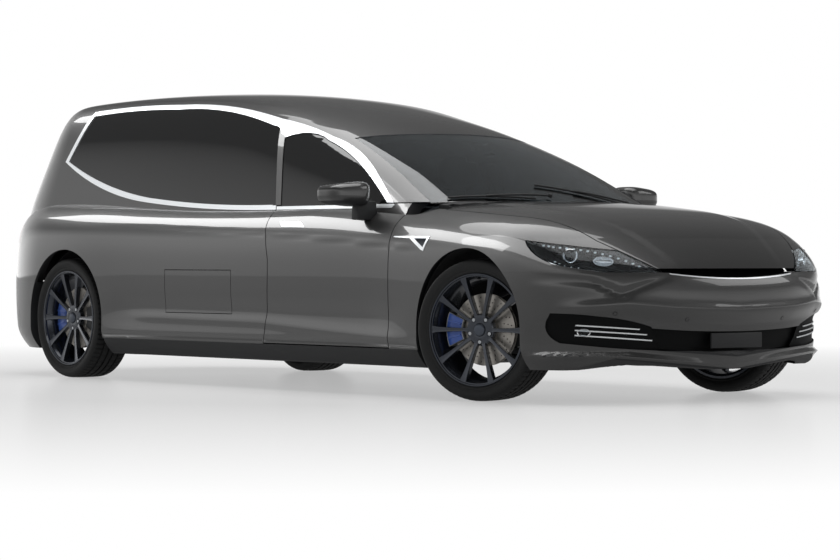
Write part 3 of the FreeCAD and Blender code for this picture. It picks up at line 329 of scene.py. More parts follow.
def cabin_solid(name, side_inset=0.0, top_inset=0.0, end_inset=0.0, floor_z=880.0):
    """The glazed upper body as a closed solid, sunk or raised in the same way."""
    section = half_section(810.0, 900.0, CABIN_FLOOR_Z - CABIN_FOOT_Z, CABIN_POWER, 0.86, 40, 22, 2)

    def skin(x, y, z):
        return np.maximum(cabin_skin(x, y, z), (CABIN_FOOT_Z - z) / 400)
    stations = np.linspace(CABIN_TAIL_START_X, CABIN_FRONT_X,
                           int((CABIN_FRONT_X - CABIN_TAIL_START_X) / STATION_STEP))
    solid = body_solid(name, skin, stations, CABIN_FLOOR_Z, section, (CABIN_FRONT_X, 640.0, 0),
                       (CABIN_TAIL_START_X, 640.0, 26), (side_inset, top_inset, end_inset), ("cabin",))
    cut(solid, block("foot", -3200, 2000, -1300, 1300, 0, floor_z))
    return solid


# ---- cutting ---------------------------------------------------------------------------------------------
def block(name, x0, x1, y0, y1, z0, z1):
    """A box between two corners, in millimetres."""
    corners = [(x, y, z) for x in (x0, x1) for y in (y0, y1) for z in (z0, z1)]
    faces = [(0, 1, 3, 2), (4, 6, 7, 5), (0, 4, 5, 1), (2, 3, 7, 6), (0, 2, 6, 4), (1, 5, 7, 3)]
    return new_mesh(name, corners, faces)


def arc_points(a, b, c):
    """Points on the arc from a through b to c, after a."""
    (ax, ay), (bx, by), (cx, cy) = a, b, c
    d = 2 * (ax * (by - cy) + bx * (cy - ay) + cx * (ay - by))
    if abs(d) < 1e-6:
        return [b, c]
    aa, bb, cc = ax * ax + ay * ay, bx * bx + by * by, cx * cx + cy * cy
    ux = (aa * (by - cy) + bb * (cy - ay) + cc * (ay - by)) / d
    uy = (aa * (cx - bx) + bb * (ax - cx) + cc * (bx - ax)) / d
    radius = math.dist((ux, uy), a)
    start = math.atan2(ay - uy, ax - ux)
    end = math.atan2(cy - uy, cx - ux)
    through = math.atan2(by - uy, bx - ux)
    sweep = (end - start) % (2 * math.pi)
    if (through - start) % (2 * math.pi) > sweep:
        sweep -= 2 * math.pi
    steps = max(6, int(abs(sweep) * radius / ARC_STEP))
    turns = [start + sweep * (k + 1) / steps for k in range(steps)]
    return [(ux + radius * math.cos(t), uy + radius * math.sin(t)) for t in turns]


def path_points(path):
    """An outline's corners and arcs as points."""
    points = [path[0]]
    for step in path[1:]:
        if isinstance(step[0], tuple):
            points += arc_points(points[-1], *step)
        else:
            points.append(step)
    if math.dist(points[0], points[-1]) < 0.01:
        points.pop()
    return points


def grown(points, by):
    """The outline moved outwards by that many millimetres."""
    area = sum(a[0] * b[1] - b[0] * a[1] for a, b in zip(points, points[1:] + points[:1]))
    sign = 1.0 if area > 0 else -1.0
    moved = []
    count = len(points)
    for i in range(count):
        a, b, c = (Vector(points[(i + k) % count]) for k in (-1, 0, 1))
        before, after = (b - a).normalized(), (c - b).normalized()
        n0, n1 = Vector((before.y, -before.x)) * sign, Vector((after.y, -after.x)) * sign
        bisector = n0 + n1
        moved.append(tuple(b + bisector * (by / max(bisector.dot(n0), 0.35))))
    return moved


def prism(name, path, axis, low, high, grow=0.0):
    """A solid from an outline. Axis "y": the outline is (x, z); "z": (x, y); "x": (y, z)."""
    points = path_points(path)
    if grow:
        points = grown(points, grow)
    place = {"x": lambda a, b, c: (c, a, b), "y": lambda a, b, c: (a, c, b),
             "z": lambda a, b, c: (a, b, c)}[axis]
    count = len(points)
    corners = [place(a, b, low) for a, b in points] + [place(a, b, high) for a, b in points]
    faces = [tuple(range(count)), tuple(range(2 * count - 1, count - 1, -1))]
    faces += [(i, (i + 1) % count, count + (i + 1) % count, count + i) for i in range(count)]
    solid = new_mesh(name, corners, faces)
    tidy(solid, 0.001)
    return solid


def combine(target, tool, operation, keep=False):
    """Cuts, joins or crosses the target with a closed tool, and removes the tool unless it is kept."""
    change = target.modifiers.new("cut", "BOOLEAN")
    change.operation = operation
    change.solver = "MANIFOLD"
    change.object = tool
    bpy.context.view_layer.objects.active = target
    bpy.ops.object.modifier_apply(modifier=change.name)
    if not keep:
        remove(tool)
    return target


def remove(thing):
    mesh = thing.data
    bpy.data.objects.remove(thing)
    bpy.data.meshes.remove(mesh)


def cut(target, *tools, keep=False):
    for tool in tools:
        combine(target, tool, "DIFFERENCE", keep)
    return target


def common(target, tool, keep=False):
    return combine(target, tool, "INTERSECT", keep)


def join(target, tool, keep=False):
    return combine(target, tool, "UNION", keep)


def copy_of(thing, name):
    twin = thing.copy()
    twin.data = thing.data.copy()
    twin.name = name
    twin.data.name = name
    bpy.context.scene.collection.objects.link(twin)
    return twin


def turned_over(thing):
    """Moves a piece to its mirror place on the car's other side, its faces still outwards."""
    thing.data.transform(Matrix.Scale(-1, 4, Vector((0, 1, 0))))
    thing.data.flip_normals()
    return thing


def mirror_of(thing, name):
    """The same piece on the car's other side."""
    return turned_over(copy_of(thing, name))


# ---- materials -------------------------------------------------------------------------------------------
def colour(hex_value):
    """A linear colour from an sRGB hex value such as "#55534F"."""
    parts = [int(hex_value[i:i + 2], 16) / 255 for i in (1, 3, 5)]
    return tuple(c / 12.92 if c <= 0.04045 else ((c + 0.055) / 1.055) ** 2.4 for c in parts) + (1.0,)


def add(tree, kind, links=(), **settings):
    """Adds a node. settings: its properties or its sockets' values; links: (source socket, input name)."""
    node = tree.nodes.new(kind)
    for name, value in settings.items():
        if hasattr(node, name):
            setattr(node, name, value)
        else:
            socket = name.replace("_", " ")
            found = [s for s in node.inputs if s.name.lower() == socket.lower() and s.enabled]
            found[0].default_value = value
    for source, name in links:
        target = node.inputs[name] if isinstance(name, int) else next(
            s for s in node.inputs if s.name.lower() == name.lower() and s.enabled)
        tree.links.new(source, target)
    return node


def finish(name, **settings):
    """A new material with one shader; returns the material, its tree and the shader."""
    material = bpy.data.materials.new(name)
    material.use_nodes = True
    tree = material.node_tree
    tree.nodes.clear()
    shader = add(tree, "ShaderNodeBsdfPrincipled", **settings)
    output = add(tree, "ShaderNodeOutputMaterial")
    tree.links.new(shader.outputs[0], output.inputs[0])
    return material, tree, shader


def grain(tree, shader, scale, strength, rough):
    """A fine bump over a finish, and a change of roughness with it. scale is the pattern's size in metres."""
    place = add(tree, "ShaderNodeTexCoord").outputs["Object"]
    noise = add(tree, "ShaderNodeTexNoise", [(place, "Vector")], Scale=1 / scale, Detail=3.0)
    bump = add(tree, "ShaderNodeBump", [(noise.outputs[0], "Height")], Strength=strength,
               Distance=scale * 0.3)
    tree.links.new(bump.outputs[0], shader.inputs["Normal"])
    spread = add(tree, "ShaderNodeMapRange", [(noise.outputs[0], "Value")], To_Min=rough[0], To_Max=rough[1])
    tree.links.new(spread.outputs[0], shader.inputs["Roughness"])


PAINT_BASE, PAINT_FLAKE = "#363636", "#3F3F3F"


def metallic_paint():
    """Car paint: metal flake in a grey base under a clear coat, so a soft glint lies below a sharp one."""
    material, tree, shader = finish("metallic_basecoat_clearcoat", Base_Color=colour(PAINT_BASE),
                                    Metallic=0.7, Roughness=0.38, Coat_Weight=1.0, Coat_Roughness=0.02)
    place = add(tree, "ShaderNodeTexCoord").outputs["Object"]
    # flakes are under 0.1 mm; drawn at 1.2 mm so that they show as a fine sparkle
    flakes = add(tree, "ShaderNodeTexVoronoi", [(place, "Vector")], Scale=1 / 0.0012)
    shade = add(tree, "ShaderNodeMapRange", [(flakes.outputs["Color"], "Value")], To_Min=0.30, To_Max=0.44)
    tree.links.new(shade.outputs[0], shader.inputs["Roughness"])
    tint = add(tree, "ShaderNodeMix", [(flakes.outputs["Color"], "Factor")], data_type="RGBA")
    tint.inputs["A"].default_value = colour(PAINT_BASE)
    tint.inputs["B"].default_value = colour(PAINT_FLAKE)
    tree.links.new(tint.outputs["Result"], shader.inputs["Base Color"])
    return material


def simple(name, hex_value, grain_size, strength, rough, **settings):
    """A plain finish: one colour, a grain of that size in metres and a range of roughness."""
    material, tree, shader = finish(name, Base_Color=colour(hex_value), **settings)
    grain(tree, shader, grain_size, strength, rough)
    return material


paint = metallic_paint()
# bright nickel-chrome plate on trim strips: nearly a mirror
chrome = simple("chrome_plated_trim", "#C9CBCD", 0.004, 0.02, (0.10, 0.16), Metallic=1.0)
# window surrounds, handle and badges: aluminium with a satin bright finish
bright_trim = simple("satin_anodised_aluminium", "#DFE2E4", 0.003, 0.02, (0.26, 0.34), Metallic=0.72)
# open-pored boards, oiled, so they shine a little along the grain's highs
walnut = simple("oiled_walnut_deck_board", "#4A3020", 0.03, 0.25, (0.35, 0.5))
# number plates are left blank: white reflective sheet
blank_plate = simple("white_plate_sheet", "#E9E9E6", 0.002, 0.05, (0.35, 0.45))
# grilles, ducts, lamp trays and pillar covers: dull, so that they stay dark
matt_black = simple("moulded_black_grille_plastic", "#050607", 0.002, 0.1, (0.55, 0.65),
                    Specular_IOR_Level=0.12)
# moulded black plastic with a high gloss: sharp, dark reflections
gloss_black = simple("gloss_black_moulded_abs", "#08090A", 0.01, 0.01, (0.06, 0.12), Coat_Weight=0.4,
                     Coat_Roughness=0.05)
# injection-moulded polypropylene with a fine leather-like grain; on the sills it is painted shade, for
# body-coloured sills that lie dark in the shade under the body
black_trim_and_sill_shade = simple("grained_black_polypropylene", "#17181A", 0.0015, 0.3, (0.5, 0.65))
# dark privacy glass, tinted through; the IOR is above plain glass's, for a coated pane's strong reflection
privacy_glass = simple("tinted_laminated_glass", "#15171A", 0.05, 0.0, (0.0, 0.02), Transmission_Weight=0.85,
                       IOR=2.1)
# clear laminated glass with a faint grey tint
screen_glass = simple("laminated_windscreen_glass", "#6C7478", 0.05, 0.0, (0.0, 0.01),
                      Transmission_Weight=1.0, IOR=1.5)
# lamp covers; the IOR is set low so that the lamps' insides show clearly
lens_clear = simple("clear_polycarbonate_lens", "#E4EAEE", 0.05, 0.0, (0.0, 0.02), Transmission_Weight=1.0,
                    IOR=1.25)
# moulded red lenses, glossy and half see-through
lens_red = simple("red_polycarbonate_lens", "#7A0D10", 0.05, 0.0, (0.05, 0.08), Transmission_Weight=0.6,
                  IOR=1.58)
# tyre rubber: nearly black and dull
rubber = simple("carbon_black_tyre_rubber", "#08090A", 0.0012, 0.2, (0.62, 0.75))
# cast wheels with a dark metallic paint under a thin clear coat
alloy_paint = simple("gunmetal_painted_alloy", "#3A3E46", 0.003, 0.03, (0.22, 0.30), Metallic=0.75,
                     Coat_Weight=0.6, Coat_Roughness=0.08)
# turned disc faces: bright grey metal with fine marks
cast_iron = simple("machined_grey_iron", "#A6A29C", 0.002, 0.15, (0.32, 0.45), Metallic=1.0)
# smooth blue enamel over a casting
caliper_paint = simple("blue_painted_caliper", "#2F55A8", 0.002, 0.05, (0.25, 0.35), Coat_Weight=0.5)
# pressed steel dipped in black primer: an even half shine
steel_black = simple("e_coated_steel", "#202224", 0.002, 0.1, (0.5, 0.6), Metallic=0.2)
# raw castings with a sandy surface
cast_alloy = simple("sand_cast_aluminium", "#8D8F90", 0.0025, 0.4, (0.45, 0.6), Metallic=0.9)
# hide with an embossed pebble grain: soft, broken highlights
leather = simple("black_pebbled_leather", "#1B1A1A", 0.0025, 0.45, (0.42, 0.55))
# short flocked fibre that takes nearly all light
cabin_trim = simple("charcoal_flock_trim", "#242426", 0.0012, 0.3, (0.75, 0.85))
# knitted cloth, matt and pale
headlining = simple("grey_knitted_headlining", "#55565A", 0.0015, 0.4, (0.85, 0.95))
# cut tufts, fully matt, with a deep grain
carpet = simple("black_tufted_carpet", "#141415", 0.003, 0.9, (0.9, 1.0))
# brushed sheet and tube: bright, with a soft-edged reflection
stainless = simple("brushed_stainless_steel", "#B4B5B5", 0.002, 0.12, (0.22, 0.32), Metallic=1.0)


# ---- shading of skins ------------------------------------------------------------------------------------
SKIN_REACH = 14.0       # a face this near to the body's skin takes its normals from it


def shade_skin(thing, inset=0.0, outer=None, inner=None):
    """True normals where a face lies on the body's skin, smooth ones elsewhere, and the two finishes."""
    mesh = thing.data
    mesh.materials.clear()
    mesh.materials.append(outer)
    mesh.materials.append(inner or outer)
    tidy(thing)
    bpy.ops.object.select_all(action="DESELECT")
    thing.select_set(True)
    bpy.context.view_layer.objects.active = thing
    bpy.ops.object.shade_smooth_by_angle(angle=math.radians(28))
    thing.select_set(False)
    mesh = thing.data
    points = np.empty(len(mesh.vertices) * 3)
    mesh.vertices.foreach_get("co", points)
    points = points.reshape(-1, 3) / MM
    skins = [skin_normals(skin, points) for skin in (lower_skin, cabin_skin)]
    corners = np.empty(len(mesh.loops) * 3)
    mesh.corner_normals.foreach_get("vector", corners)
    corners = corners.reshape(-1, 3)
    for face in mesh.polygons:
        spots = list(face.vertices)
        best = 0.0
        for normals, away in skins:
            agree = float(np.dot(normals[spots].mean(axis=0), face.normal))
            if np.abs(away[spots] + inset).max() < SKIN_REACH and abs(agree) > max(abs(best), 0.75):
                best, found = agree, normals
        if best:
            for corner, v in zip(face.loop_indices, spots):
                corners[corner] = found[v] * math.copysign(1.0, best)
        face.material_index = 0 if best > 0 else 1
    mesh.normals_split_custom_set([tuple(c) for c in corners])
    return thing


# ---- outlines, each from its corners and arcs ------------------------------------------------------------
DOOR = [(146, BELT_Z), (DOOR_FRONT_X, BELT_Z), (DOOR_FRONT_X, 250), (190, 250), ((226, 480), (232, 700))]
DOOR_GLASS = [(188, BELT_Z + SEAT_GAP), (53, 1360), ((240, 1378), (423, 1332)),
              ((800, 1186), (1128, BELT_Z + SEAT_GAP))]
SIDE_GLASS = [(-2145, 1283), ((-1680, 1142), (-1159, 1050)), ((-627, 1010), (131, 992)), (-28, 1420),
              ((-560, 1531), (-1116, 1566)), ((-1600, 1574), (-2019, 1559))]
HATCH = [(-765, 402), (-120, 402), (-120, 637), (-765, 637)]
HOOD_SIDE_Y = 748.0
SCREEN_BASE_X, SCREEN_TOP_X = 1592.0, 689.0


def swept(x, y):
    """A point on a line across the car that curves back with the windscreen."""
    return (x - SCREEN_SWEEP * y * y, y)


SCREEN = [swept(SCREEN_BASE_X, -735), (swept(SCREEN_BASE_X, 0), swept(SCREEN_BASE_X, 735)),
          swept(SCREEN_TOP_X, 600), (swept(SCREEN_TOP_X, 0), swept(SCREEN_TOP_X, -600))]
HOOD = [(1535, -HOOD_SIDE_Y), ((1640, 0), (1535, HOOD_SIDE_Y)), ((2130, 738), (2560, 640)),
        ((2720, 530), (2840, 392)), ((2875, 0), (2840, -392)), ((2720, -530), (2560, -640)),
        ((2130, -738), (1535, -HOOD_SIDE_Y))]
HEADLAMP = [(2326, 792), ((2420, 716), (2530, 668)), (2690, 637), (2860, 637), (2860, 700),
            ((2620, 748), (2326, 792))]
GATE = [(-640, GATE_BOTTOM_Z), (640, GATE_BOTTOM_Z), (640, 950), ((626, 1010), (598, 1060)), (516, 1600),
        (-516, 1600), (-598, 1060), ((-626, 1010), (-640, 950))]
HATCH_GAP = 4.0
GATE_GLASS = [(-560, 1085), (560, 1085), (488, 1530), (-488, 1530)]


def arch_hole(axle_x, grow=0.0):
    """The round opening over a wheel, open downwards."""
    turns = [math.pi - math.pi * k / 72 for k in range(73)]
    size = ARCH_R + grow
    points = [(axle_x - size, 0)] + [(axle_x + size * math.cos(t), ARCH_Z + size * math.sin(t))
                                     for t in turns]
    points.append((axle_x + size, 0))
    return prism("arch", points, "y", 480.0, 1300)


def through_side(path, low=350, high=1300, grow=0.0):
    """A cutting tool of an (x, z) outline, between two widths on the left."""
    return prism("side_tool", path, "y", low, high, grow)


def through_nose(path, low, grow=0.0):
    """A cutting tool of a (y, z) outline, from that far forward."""
    return prism("nose_tool", path, "x", low, 3000, grow)


# ---- rooms inside the body -------------------------------------------------------------------------------
LOWER_WALLS, CABIN_WALLS = (85, 45, 60), (80, 40, 40)       # how far below the skin: side, top and end
GLASS_SINK, GLASS_BACK = 3, 9           # the glass lies between these depths
ROOM_FLOOR_Z = 60                       # where the lower rooms end below
CORE_FLOOR_Z, CORE_CABIN_Z = 100, 860   # where the tools that hollow a thin skin end below

# ---- the shells ------------------------------------------------------------------------------------------
skin_lower = lower_solid("skin_lower")
skin_cabin = cabin_solid("skin_cabin")
room_lower = lower_solid("room_lower", *LOWER_WALLS, floor_z=ROOM_FLOOR_Z)
room_cabin = cabin_solid("room_cabin", *CABIN_WALLS, floor_z=840)
whole = join(copy_of(skin_lower, "whole"), skin_cabin, keep=True)
side_shell = cut(copy_of(whole, "side_shell"), room_lower, room_cabin, keep=True)
glass_shell = cut(cabin_solid("glass_shell", GLASS_SINK, GLASS_SINK, GLASS_SINK),
                  cabin_solid("glass_core", GLASS_BACK, GLASS_BACK, GLASS_BACK, floor_z=CORE_CABIN_Z))


def panel(shell, name, crossed, *holes):
    """A copy of a shell, crossed with one tool and cut by the others."""
    piece = common(copy_of(shell, name), crossed)
    for hole in holes:
        cut(piece, hole)
    return piece


left_half = block("left_half", -3200, 3200, 0, 1400, 0, 2000)
door = panel(side_shell, "door_skin_left", through_side(DOOR, 600))
door_room = prism("door_room", DOOR, "y", 500, 1300, grow=MOVING_GAP)
glass_left = common(copy_of(glass_shell, "glass_left"), left_half, keep=True)
door_glass = panel(glass_left, "door_window_left", through_side(DOOR_GLASS))
side_glass = panel(glass_left, "bay_window_left", through_side(SIDE_GLASS, grow=-SEAT_GAP))
screen_prism = prism("screen", SCREEN, "z", 950, 1650, grow=-0.8)
windscreen = common(copy_of(glass_shell, "windscreen_glass"), screen_prism)
remove(glass_left)

hatch = panel(skin_lower, "charge_hatch_left", through_side(HATCH, 800), lower_solid("core", 24, 24, 24))
gate_prism = prism("gate", GATE, "x", -3100, -2442)
gate = common(copy_of(side_shell, "tailgate_shell"), gate_prism)
cut(gate, prism("gate_window_tool", GATE_GLASS, "x", -3100, -2350))
gate_glass = panel(glass_shell, "tailgate_window",
                   prism("gate_window_tool", GATE_GLASS, "x", -3100, -2350, grow=-SEAT_GAP))
gate_room = prism("gate_room", GATE, "x", -3100, -2260, grow=MOVING_GAP)

roof_zone = join(block("roof_zone", ROOF_REAR_X, 900, -ROOF_SIDE_Y, ROOF_SIDE_Y, 1300, 1800),
                 block("roof_lip_zone", ROOF_REAR_X - 200, ROOF_REAR_X + 1, -ROOF_SIDE_Y, ROOF_SIDE_Y,
                       GATE_LIP_Z, 1800))
screen_hole = prism("screen_hole", SCREEN, "z", 940, 1600)
roof = panel(side_shell, "roof_skin", roof_zone)
cut(roof, screen_hole, keep=True)

side = panel(side_shell, "body_side_left_skin",
             block("zone", -3100, DOOR_FRONT_X, 300, 1300, SILL_TOP_Z + SEAT_GAP, 1800))
pillar = panel(side_shell, "a_pillar", block("zone", DOOR_FRONT_X - 1, 1560, 300, 1300, 992, 1800))
side = join(side, pillar)
for tool in (block("tool", ROOF_REAR_X - SEAT_GAP, 1000, 0, ROOF_SIDE_Y + SEAT_GAP, 1300, 1800),
             block("tool", ROOF_REAR_X - 300, ROOF_REAR_X, 0, ROOF_SIDE_Y + SEAT_GAP, GATE_LIP_Z - SEAT_GAP,
                   1800),
             block("tool", -3200, REAR_BUMPER_X, 0, 1400, 0, BUMPER_TOP_Z + SEAT_GAP),
             through_side(SIDE_GLASS), through_side(DOOR_GLASS, grow=MOVING_GAP),
             through_side(HATCH, 700, grow=HATCH_GAP), arch_hole(REAR_AXLE_X),
             block("tool", 240, 1700, 0, 1400, 880, BELT_Z + MOVING_GAP)):
    cut(side, tool)
cut(side, door_room, keep=True)
cut(side, gate_room, keep=True)
cut(side, screen_hole, keep=True)

lip_room = lower_solid("lip_room", 16, 16, 16, floor_z=ROOM_FLOOR_Z)
cut(side, common(arch_hole(REAR_AXLE_X, 48), lip_room, keep=True))

rear_bumper = panel(side_shell, "rear_bumper_skin",
                    block("zone", -3100, REAR_BUMPER_X - SEAT_GAP, -1400, 1400, 165, BUMPER_TOP_Z))
fender_shell = cut(copy_of(skin_lower, "fender_shell"), lower_solid("core", 12, 12, 12, floor_z=ROOM_FLOOR_Z))
hood_room = prism("hood_room", HOOD, "z", 500, 1300, grow=MOVING_GAP)
fender = panel(fender_shell, "fender_skin_left", block("zone", DOOR_FRONT_X + MOVING_GAP, 2900, 380, 1400,
                                                       SILL_TOP_Z + SEAT_GAP, 1300))
for tool in (arch_hole(FRONT_AXLE_X), through_side(HEADLAMP, 300, grow=0.8),
             block("tool", 1955, 3000, 0, 1400, 0, NOSE_SEAM_Z),
             block("tool", 1300, 1530, 0, 742, 800, 1200)):
    cut(fender, tool)
cut(fender, hood_room, keep=True)
cut(fender, skin_cabin, keep=True)
hood = panel(skin_lower, "hood_skin", prism("hood", HOOD, "z", 600, 1200),
             lower_solid("core", 12, 55, 12, floor_z=ROOM_FLOOR_Z),
             block("tool", 1400, 3000, -900, 900, 300, NOSE_SEAM_Z + 20))
bumper = panel(skin_lower, "front_bumper_skin",
               block("zone", FRONT_BUMPER_X, 3000, -1400, 1400, 165, NOSE_SEAM_Z - SEAT_GAP),
               lower_solid("core", 60, 45, 70, floor_z=ROOM_FLOOR_Z))
for sign in (-1, 1):
    for piece, axle_x in ((bumper, FRONT_AXLE_X), (rear_bumper, REAR_AXLE_X)):
        hole = arch_hole(axle_x)
        cut(piece, hole if sign > 0 else turned_over(hole))
sill = panel(skin_lower, "sill_left", block("zone", REAR_AXLE_X + ARCH_R + SILL_ARCH_GAP,
                                            FRONT_AXLE_X - ARCH_R - SILL_ARCH_GAP,
                                            760, 1400, 100, SILL_TOP_Z))


# ---- fitting pieces to the frame -------------------------------------------------------------------------
def put(piece, body, nodes=()):
    """The piece rides on a body and stands for those nodes."""
    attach(piece, body)
    if nodes:
        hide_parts(*nodes)
    return piece


# ---- shaping, rounding and joining pieces ----------------------------------------------------------------
def done(thing, angle=35.0):
    """Leaves edit mode, sets the place in the mesh and shades it."""
    if bpy.context.mode != "OBJECT":
        bpy.ops.object.mode_set(mode="OBJECT")
    bpy.ops.object.select_all(action="DESELECT")
    thing.select_set(True)
    bpy.context.view_layer.objects.active = thing
    bpy.ops.object.transform_apply(location=True, rotation=True, scale=True)
    bpy.ops.object.shade_smooth_by_angle(angle=math.radians(angle))
    bpy.ops.object.select_all(action="DESELECT")
    return thing


def spun(name, profile, steps=96, sweep=360.0, start=0.0):
    """A ring, or a part of one, turned round the Y axis from its (radius, y) outline."""
    bpy.ops.object.select_all(action="DESELECT")
    bpy.ops.mesh.primitive_circle_add(vertices=len(profile), radius=1,
                                      fill_type="NGON" if sweep < 360 else "NOTHING")
    thing = bpy.context.object
    thing.name = name
    turn = math.radians(start)
    for corner, (r, y) in zip(thing.data.vertices, profile):
        corner.co = (r * MM * math.sin(turn), y * MM, r * MM * math.cos(turn))
    bpy.ops.object.mode_set(mode="EDIT")
    bpy.ops.mesh.select_all(action="SELECT")
    bpy.ops.mesh.spin(steps=steps, angle=math.radians(sweep), center=(0, 0, 0), axis=(0, 1, 0))
    bpy.ops.mesh.select_all(action="SELECT")
    bpy.ops.mesh.remove_doubles(threshold=0.00001)
    bpy.ops.mesh.normals_make_consistent(inside=False)
    return done(thing)


def joined(name, pieces):
    """Several pieces as one object."""
    bpy.ops.object.select_all(action="DESELECT")
    for piece in pieces:
        piece.select_set(True)
    bpy.context.view_layer.objects.active = pieces[0]
    bpy.ops.object.join()
    pieces[0].name = name
    bpy.ops.object.select_all(action="DESELECT")
    return pieces[0]


def coat(thing, material):
    """Gives a piece its finish."""
    thing.data.materials.clear()
    thing.data.materials.append(material)
    return thing


def loft(name, rings):
    """A skin over rings of points in millimetres, with both ends filled."""
    count = len(rings[0])
    points = [p for ring in rings for p in ring]
    faces = []
    for r in range(len(rings) - 1):
        for c in range(count):
            n = (c + 1) % count
            faces.append((r * count + c, r * count + n, (r + 1) * count + n, (r + 1) * count + c))
    faces += [tuple(range(count))[::-1], tuple(range((len(rings) - 1) * count, len(rings) * count))]
    thing = new_mesh(name, points, faces)
    tidy(thing, 0.001)
    return thing


def rounded(thing, width, segments=2, angle=30.0):
    """Rounds a piece's edges with a bevel that is applied."""
    bpy.ops.object.select_all(action="DESELECT")
    thing.select_set(True)
    bpy.context.view_layer.objects.active = thing
    bevel = thing.modifiers.new("edges", "BEVEL")
    bevel.width = width * MM
    bevel.segments = segments
    bevel.limit_method = "ANGLE"
    bevel.angle_limit = math.radians(angle)
    bpy.ops.object.modifier_apply(modifier=bevel.name)
    return done(thing)


def peg(name, sides, r, height, place, axis="Y"):
    """A short bar standing on an axis, its end edges rounded."""
    turn = {"X": (0, math.pi / 2, 0), "Y": (math.pi / 2, 0, 0), "Z": (0, 0, 0)}[axis]
    bpy.ops.object.select_all(action="DESELECT")
    bpy.ops.mesh.primitive_cylinder_add(vertices=sides, radius=r * MM, depth=height * MM, rotation=turn,
                                        location=Vector(place) * MM)
    thing = bpy.context.object
    thing.name = name
    done(thing)
    return rounded(thing, min(r, height) * 0.15, 2, 50)


# ---- bright work and black trim over the skin ------------------------------------------------------------
LOOP = [(-2178, 1284), ((-1700, 1118), (-1159, 1025)), ((-627, 986), (131, 967)), (1176, 964), (1192, 978),
        ((830, 1212), (423, 1359)), ((180, 1424), (-60, 1472)), ((-560, 1557), (-1116, 1591)),
        ((-1600, 1599), (-2036, 1584))]
SIDE_OPEN = [(-2140, 1284), ((-1680, 1144), (-1159, 1052)), ((-627, 1012), (150, 994)), (30, 1330),
             ((-5, 1400), (-95, 1437)), ((-560, 1529), (-1116, 1564)), ((-1600, 1572), (-2014, 1557))]
PILLAR = [(104, 990), (186, 990), (46, 1374), (-58, 1412)]
HANDLE = [(286, 902), (470, 899), (490, 893), (531, 869), (336, 872), (318, 877)]
WING_MARK = [(1338, 812), (1344, 817), (1642, 814), (1611, 741), (1590, 747), (1478, 806)]
WING_PLATE = [(1512, 806), (1624, 805), (1604, 759)]
NOSE_SLIT = [(-404, 633), ((-210, 616), (0, 610)), ((210, 616), (404, 633)), (404, 668), (-404, 668)]
SLIT_LINE = [(-410, 632.5), ((-210, 615.5), (0, 609.5)), ((210, 615.5), (410, 632.5)), (404, 626),
             ((210, 609), (0, 603)), ((-210, 609), (-404, 626))]
GRILLE = [(-506, 379), (-494, 368), ((-250, 353), (0, 349)), ((250, 353), (494, 368)), (506, 379),
          (520, 300), (442, 259), ((220, 255), (0, 254)), ((-220, 255), (-442, 259)), (-520, 300)]
DUCT = [(893, 441), ((820, 437), (736, 427)), ((600, 405), (500, 376)), (455, 300), (446, 262),
        ((640, 272), (850, 297)), ((878, 330), (890, 390))]


def mirrored_path(path):
    """An outline's corners and arcs on the car's other side."""
    return [tuple((-y, z) for y, z in step) if isinstance(step[0], tuple) else (-step[0], step[1])
            for step in path]


def wrap(out, depth):
    """A skin over the whole body, that far outside it and that far into it."""
    outer = join(lower_solid("outer", -out, -out, -out), cabin_solid("outer_cabin", -out, -out, -out))
    core = join(lower_solid("core", depth, depth, depth, floor_z=CORE_FLOOR_Z),
                cabin_solid("core_cabin", depth, depth, depth, floor_z=CORE_CABIN_Z))
    return cut(outer, core)


def layer(name, outer, inner):
    """The lower body's skin between two depths. A depth is one number, or a (side, top, end) of them."""
    outer, inner = (depth if isinstance(depth, tuple) else (depth,) * 3 for depth in (outer, inner))
    return cut(lower_solid(name, *outer), lower_solid("core", *inner, floor_z=CORE_FLOOR_Z))


def mirrored_pair(piece, body, nodes=(), sided=False):
    """The piece on the left and its mirror image on the right."""
    twin = mirror_of(piece, piece.name + "_right")
    piece.name += "_left"
    for thing, hand in ((piece, "_left"), (twin, "_right")):
        put(thing, body + hand if sided else body, [n + hand if sided else n for n in nodes])


trim_skin = common(wrap(2.0, 2.6), left_half, keep=True)
loop = panel(trim_skin, "window_surround", through_side(LOOP), through_side(SIDE_OPEN, 300, 1350),
             through_side(PILLAR, 300, 1350), through_side(DOOR_GLASS, 300, 1350, MOVING_GAP))
cut(loop, door_room, keep=True)
belt = panel(trim_skin, "belt_strip", through_side(LOOP))
common(belt, through_side(DOOR, 500, grow=-1.0))
handle_bar = panel(trim_skin, "door_handle", through_side(HANDLE, 600))
wing_mark = panel(trim_skin, "wing_mark", through_side(WING_MARK, 600), through_side(WING_PLATE, 500, 1400))
for piece, body, sided in ((loop, "root", False), (belt, "door", True), (handle_bar, "door", True),
                           (wing_mark, "root", False)):
    shade_skin(piece, -2.0, bright_trim, bright_trim)
    mirrored_pair(piece, body, sided=sided)
pillar_skin = common(cut(cabin_solid("pillar", 1.0, 1.0, 1.0),
                         cabin_solid("core", 8.5, 8.5, 8.5, floor_z=CORE_CABIN_Z)),
                     left_half, keep=True)
pillar_cover = panel(pillar_skin, "pillar_cover", through_side(PILLAR),
                     through_side(SIDE_GLASS, 300, 1350), through_side(DOOR_GLASS, 300, 1350, MOVING_GAP))
shade_skin(pillar_cover, 1.0, matt_black, matt_black)
mirrored_pair(pillar_cover, "root")
plate = panel(trim_skin, "wing_plate", through_side(WING_PLATE, 600, grow=-1.5))
shade_skin(plate, -2.0, alloy_paint, alloy_paint)
mirrored_pair(plate, "root")
for piece in (trim_skin, pillar_skin):
    remove(piece)

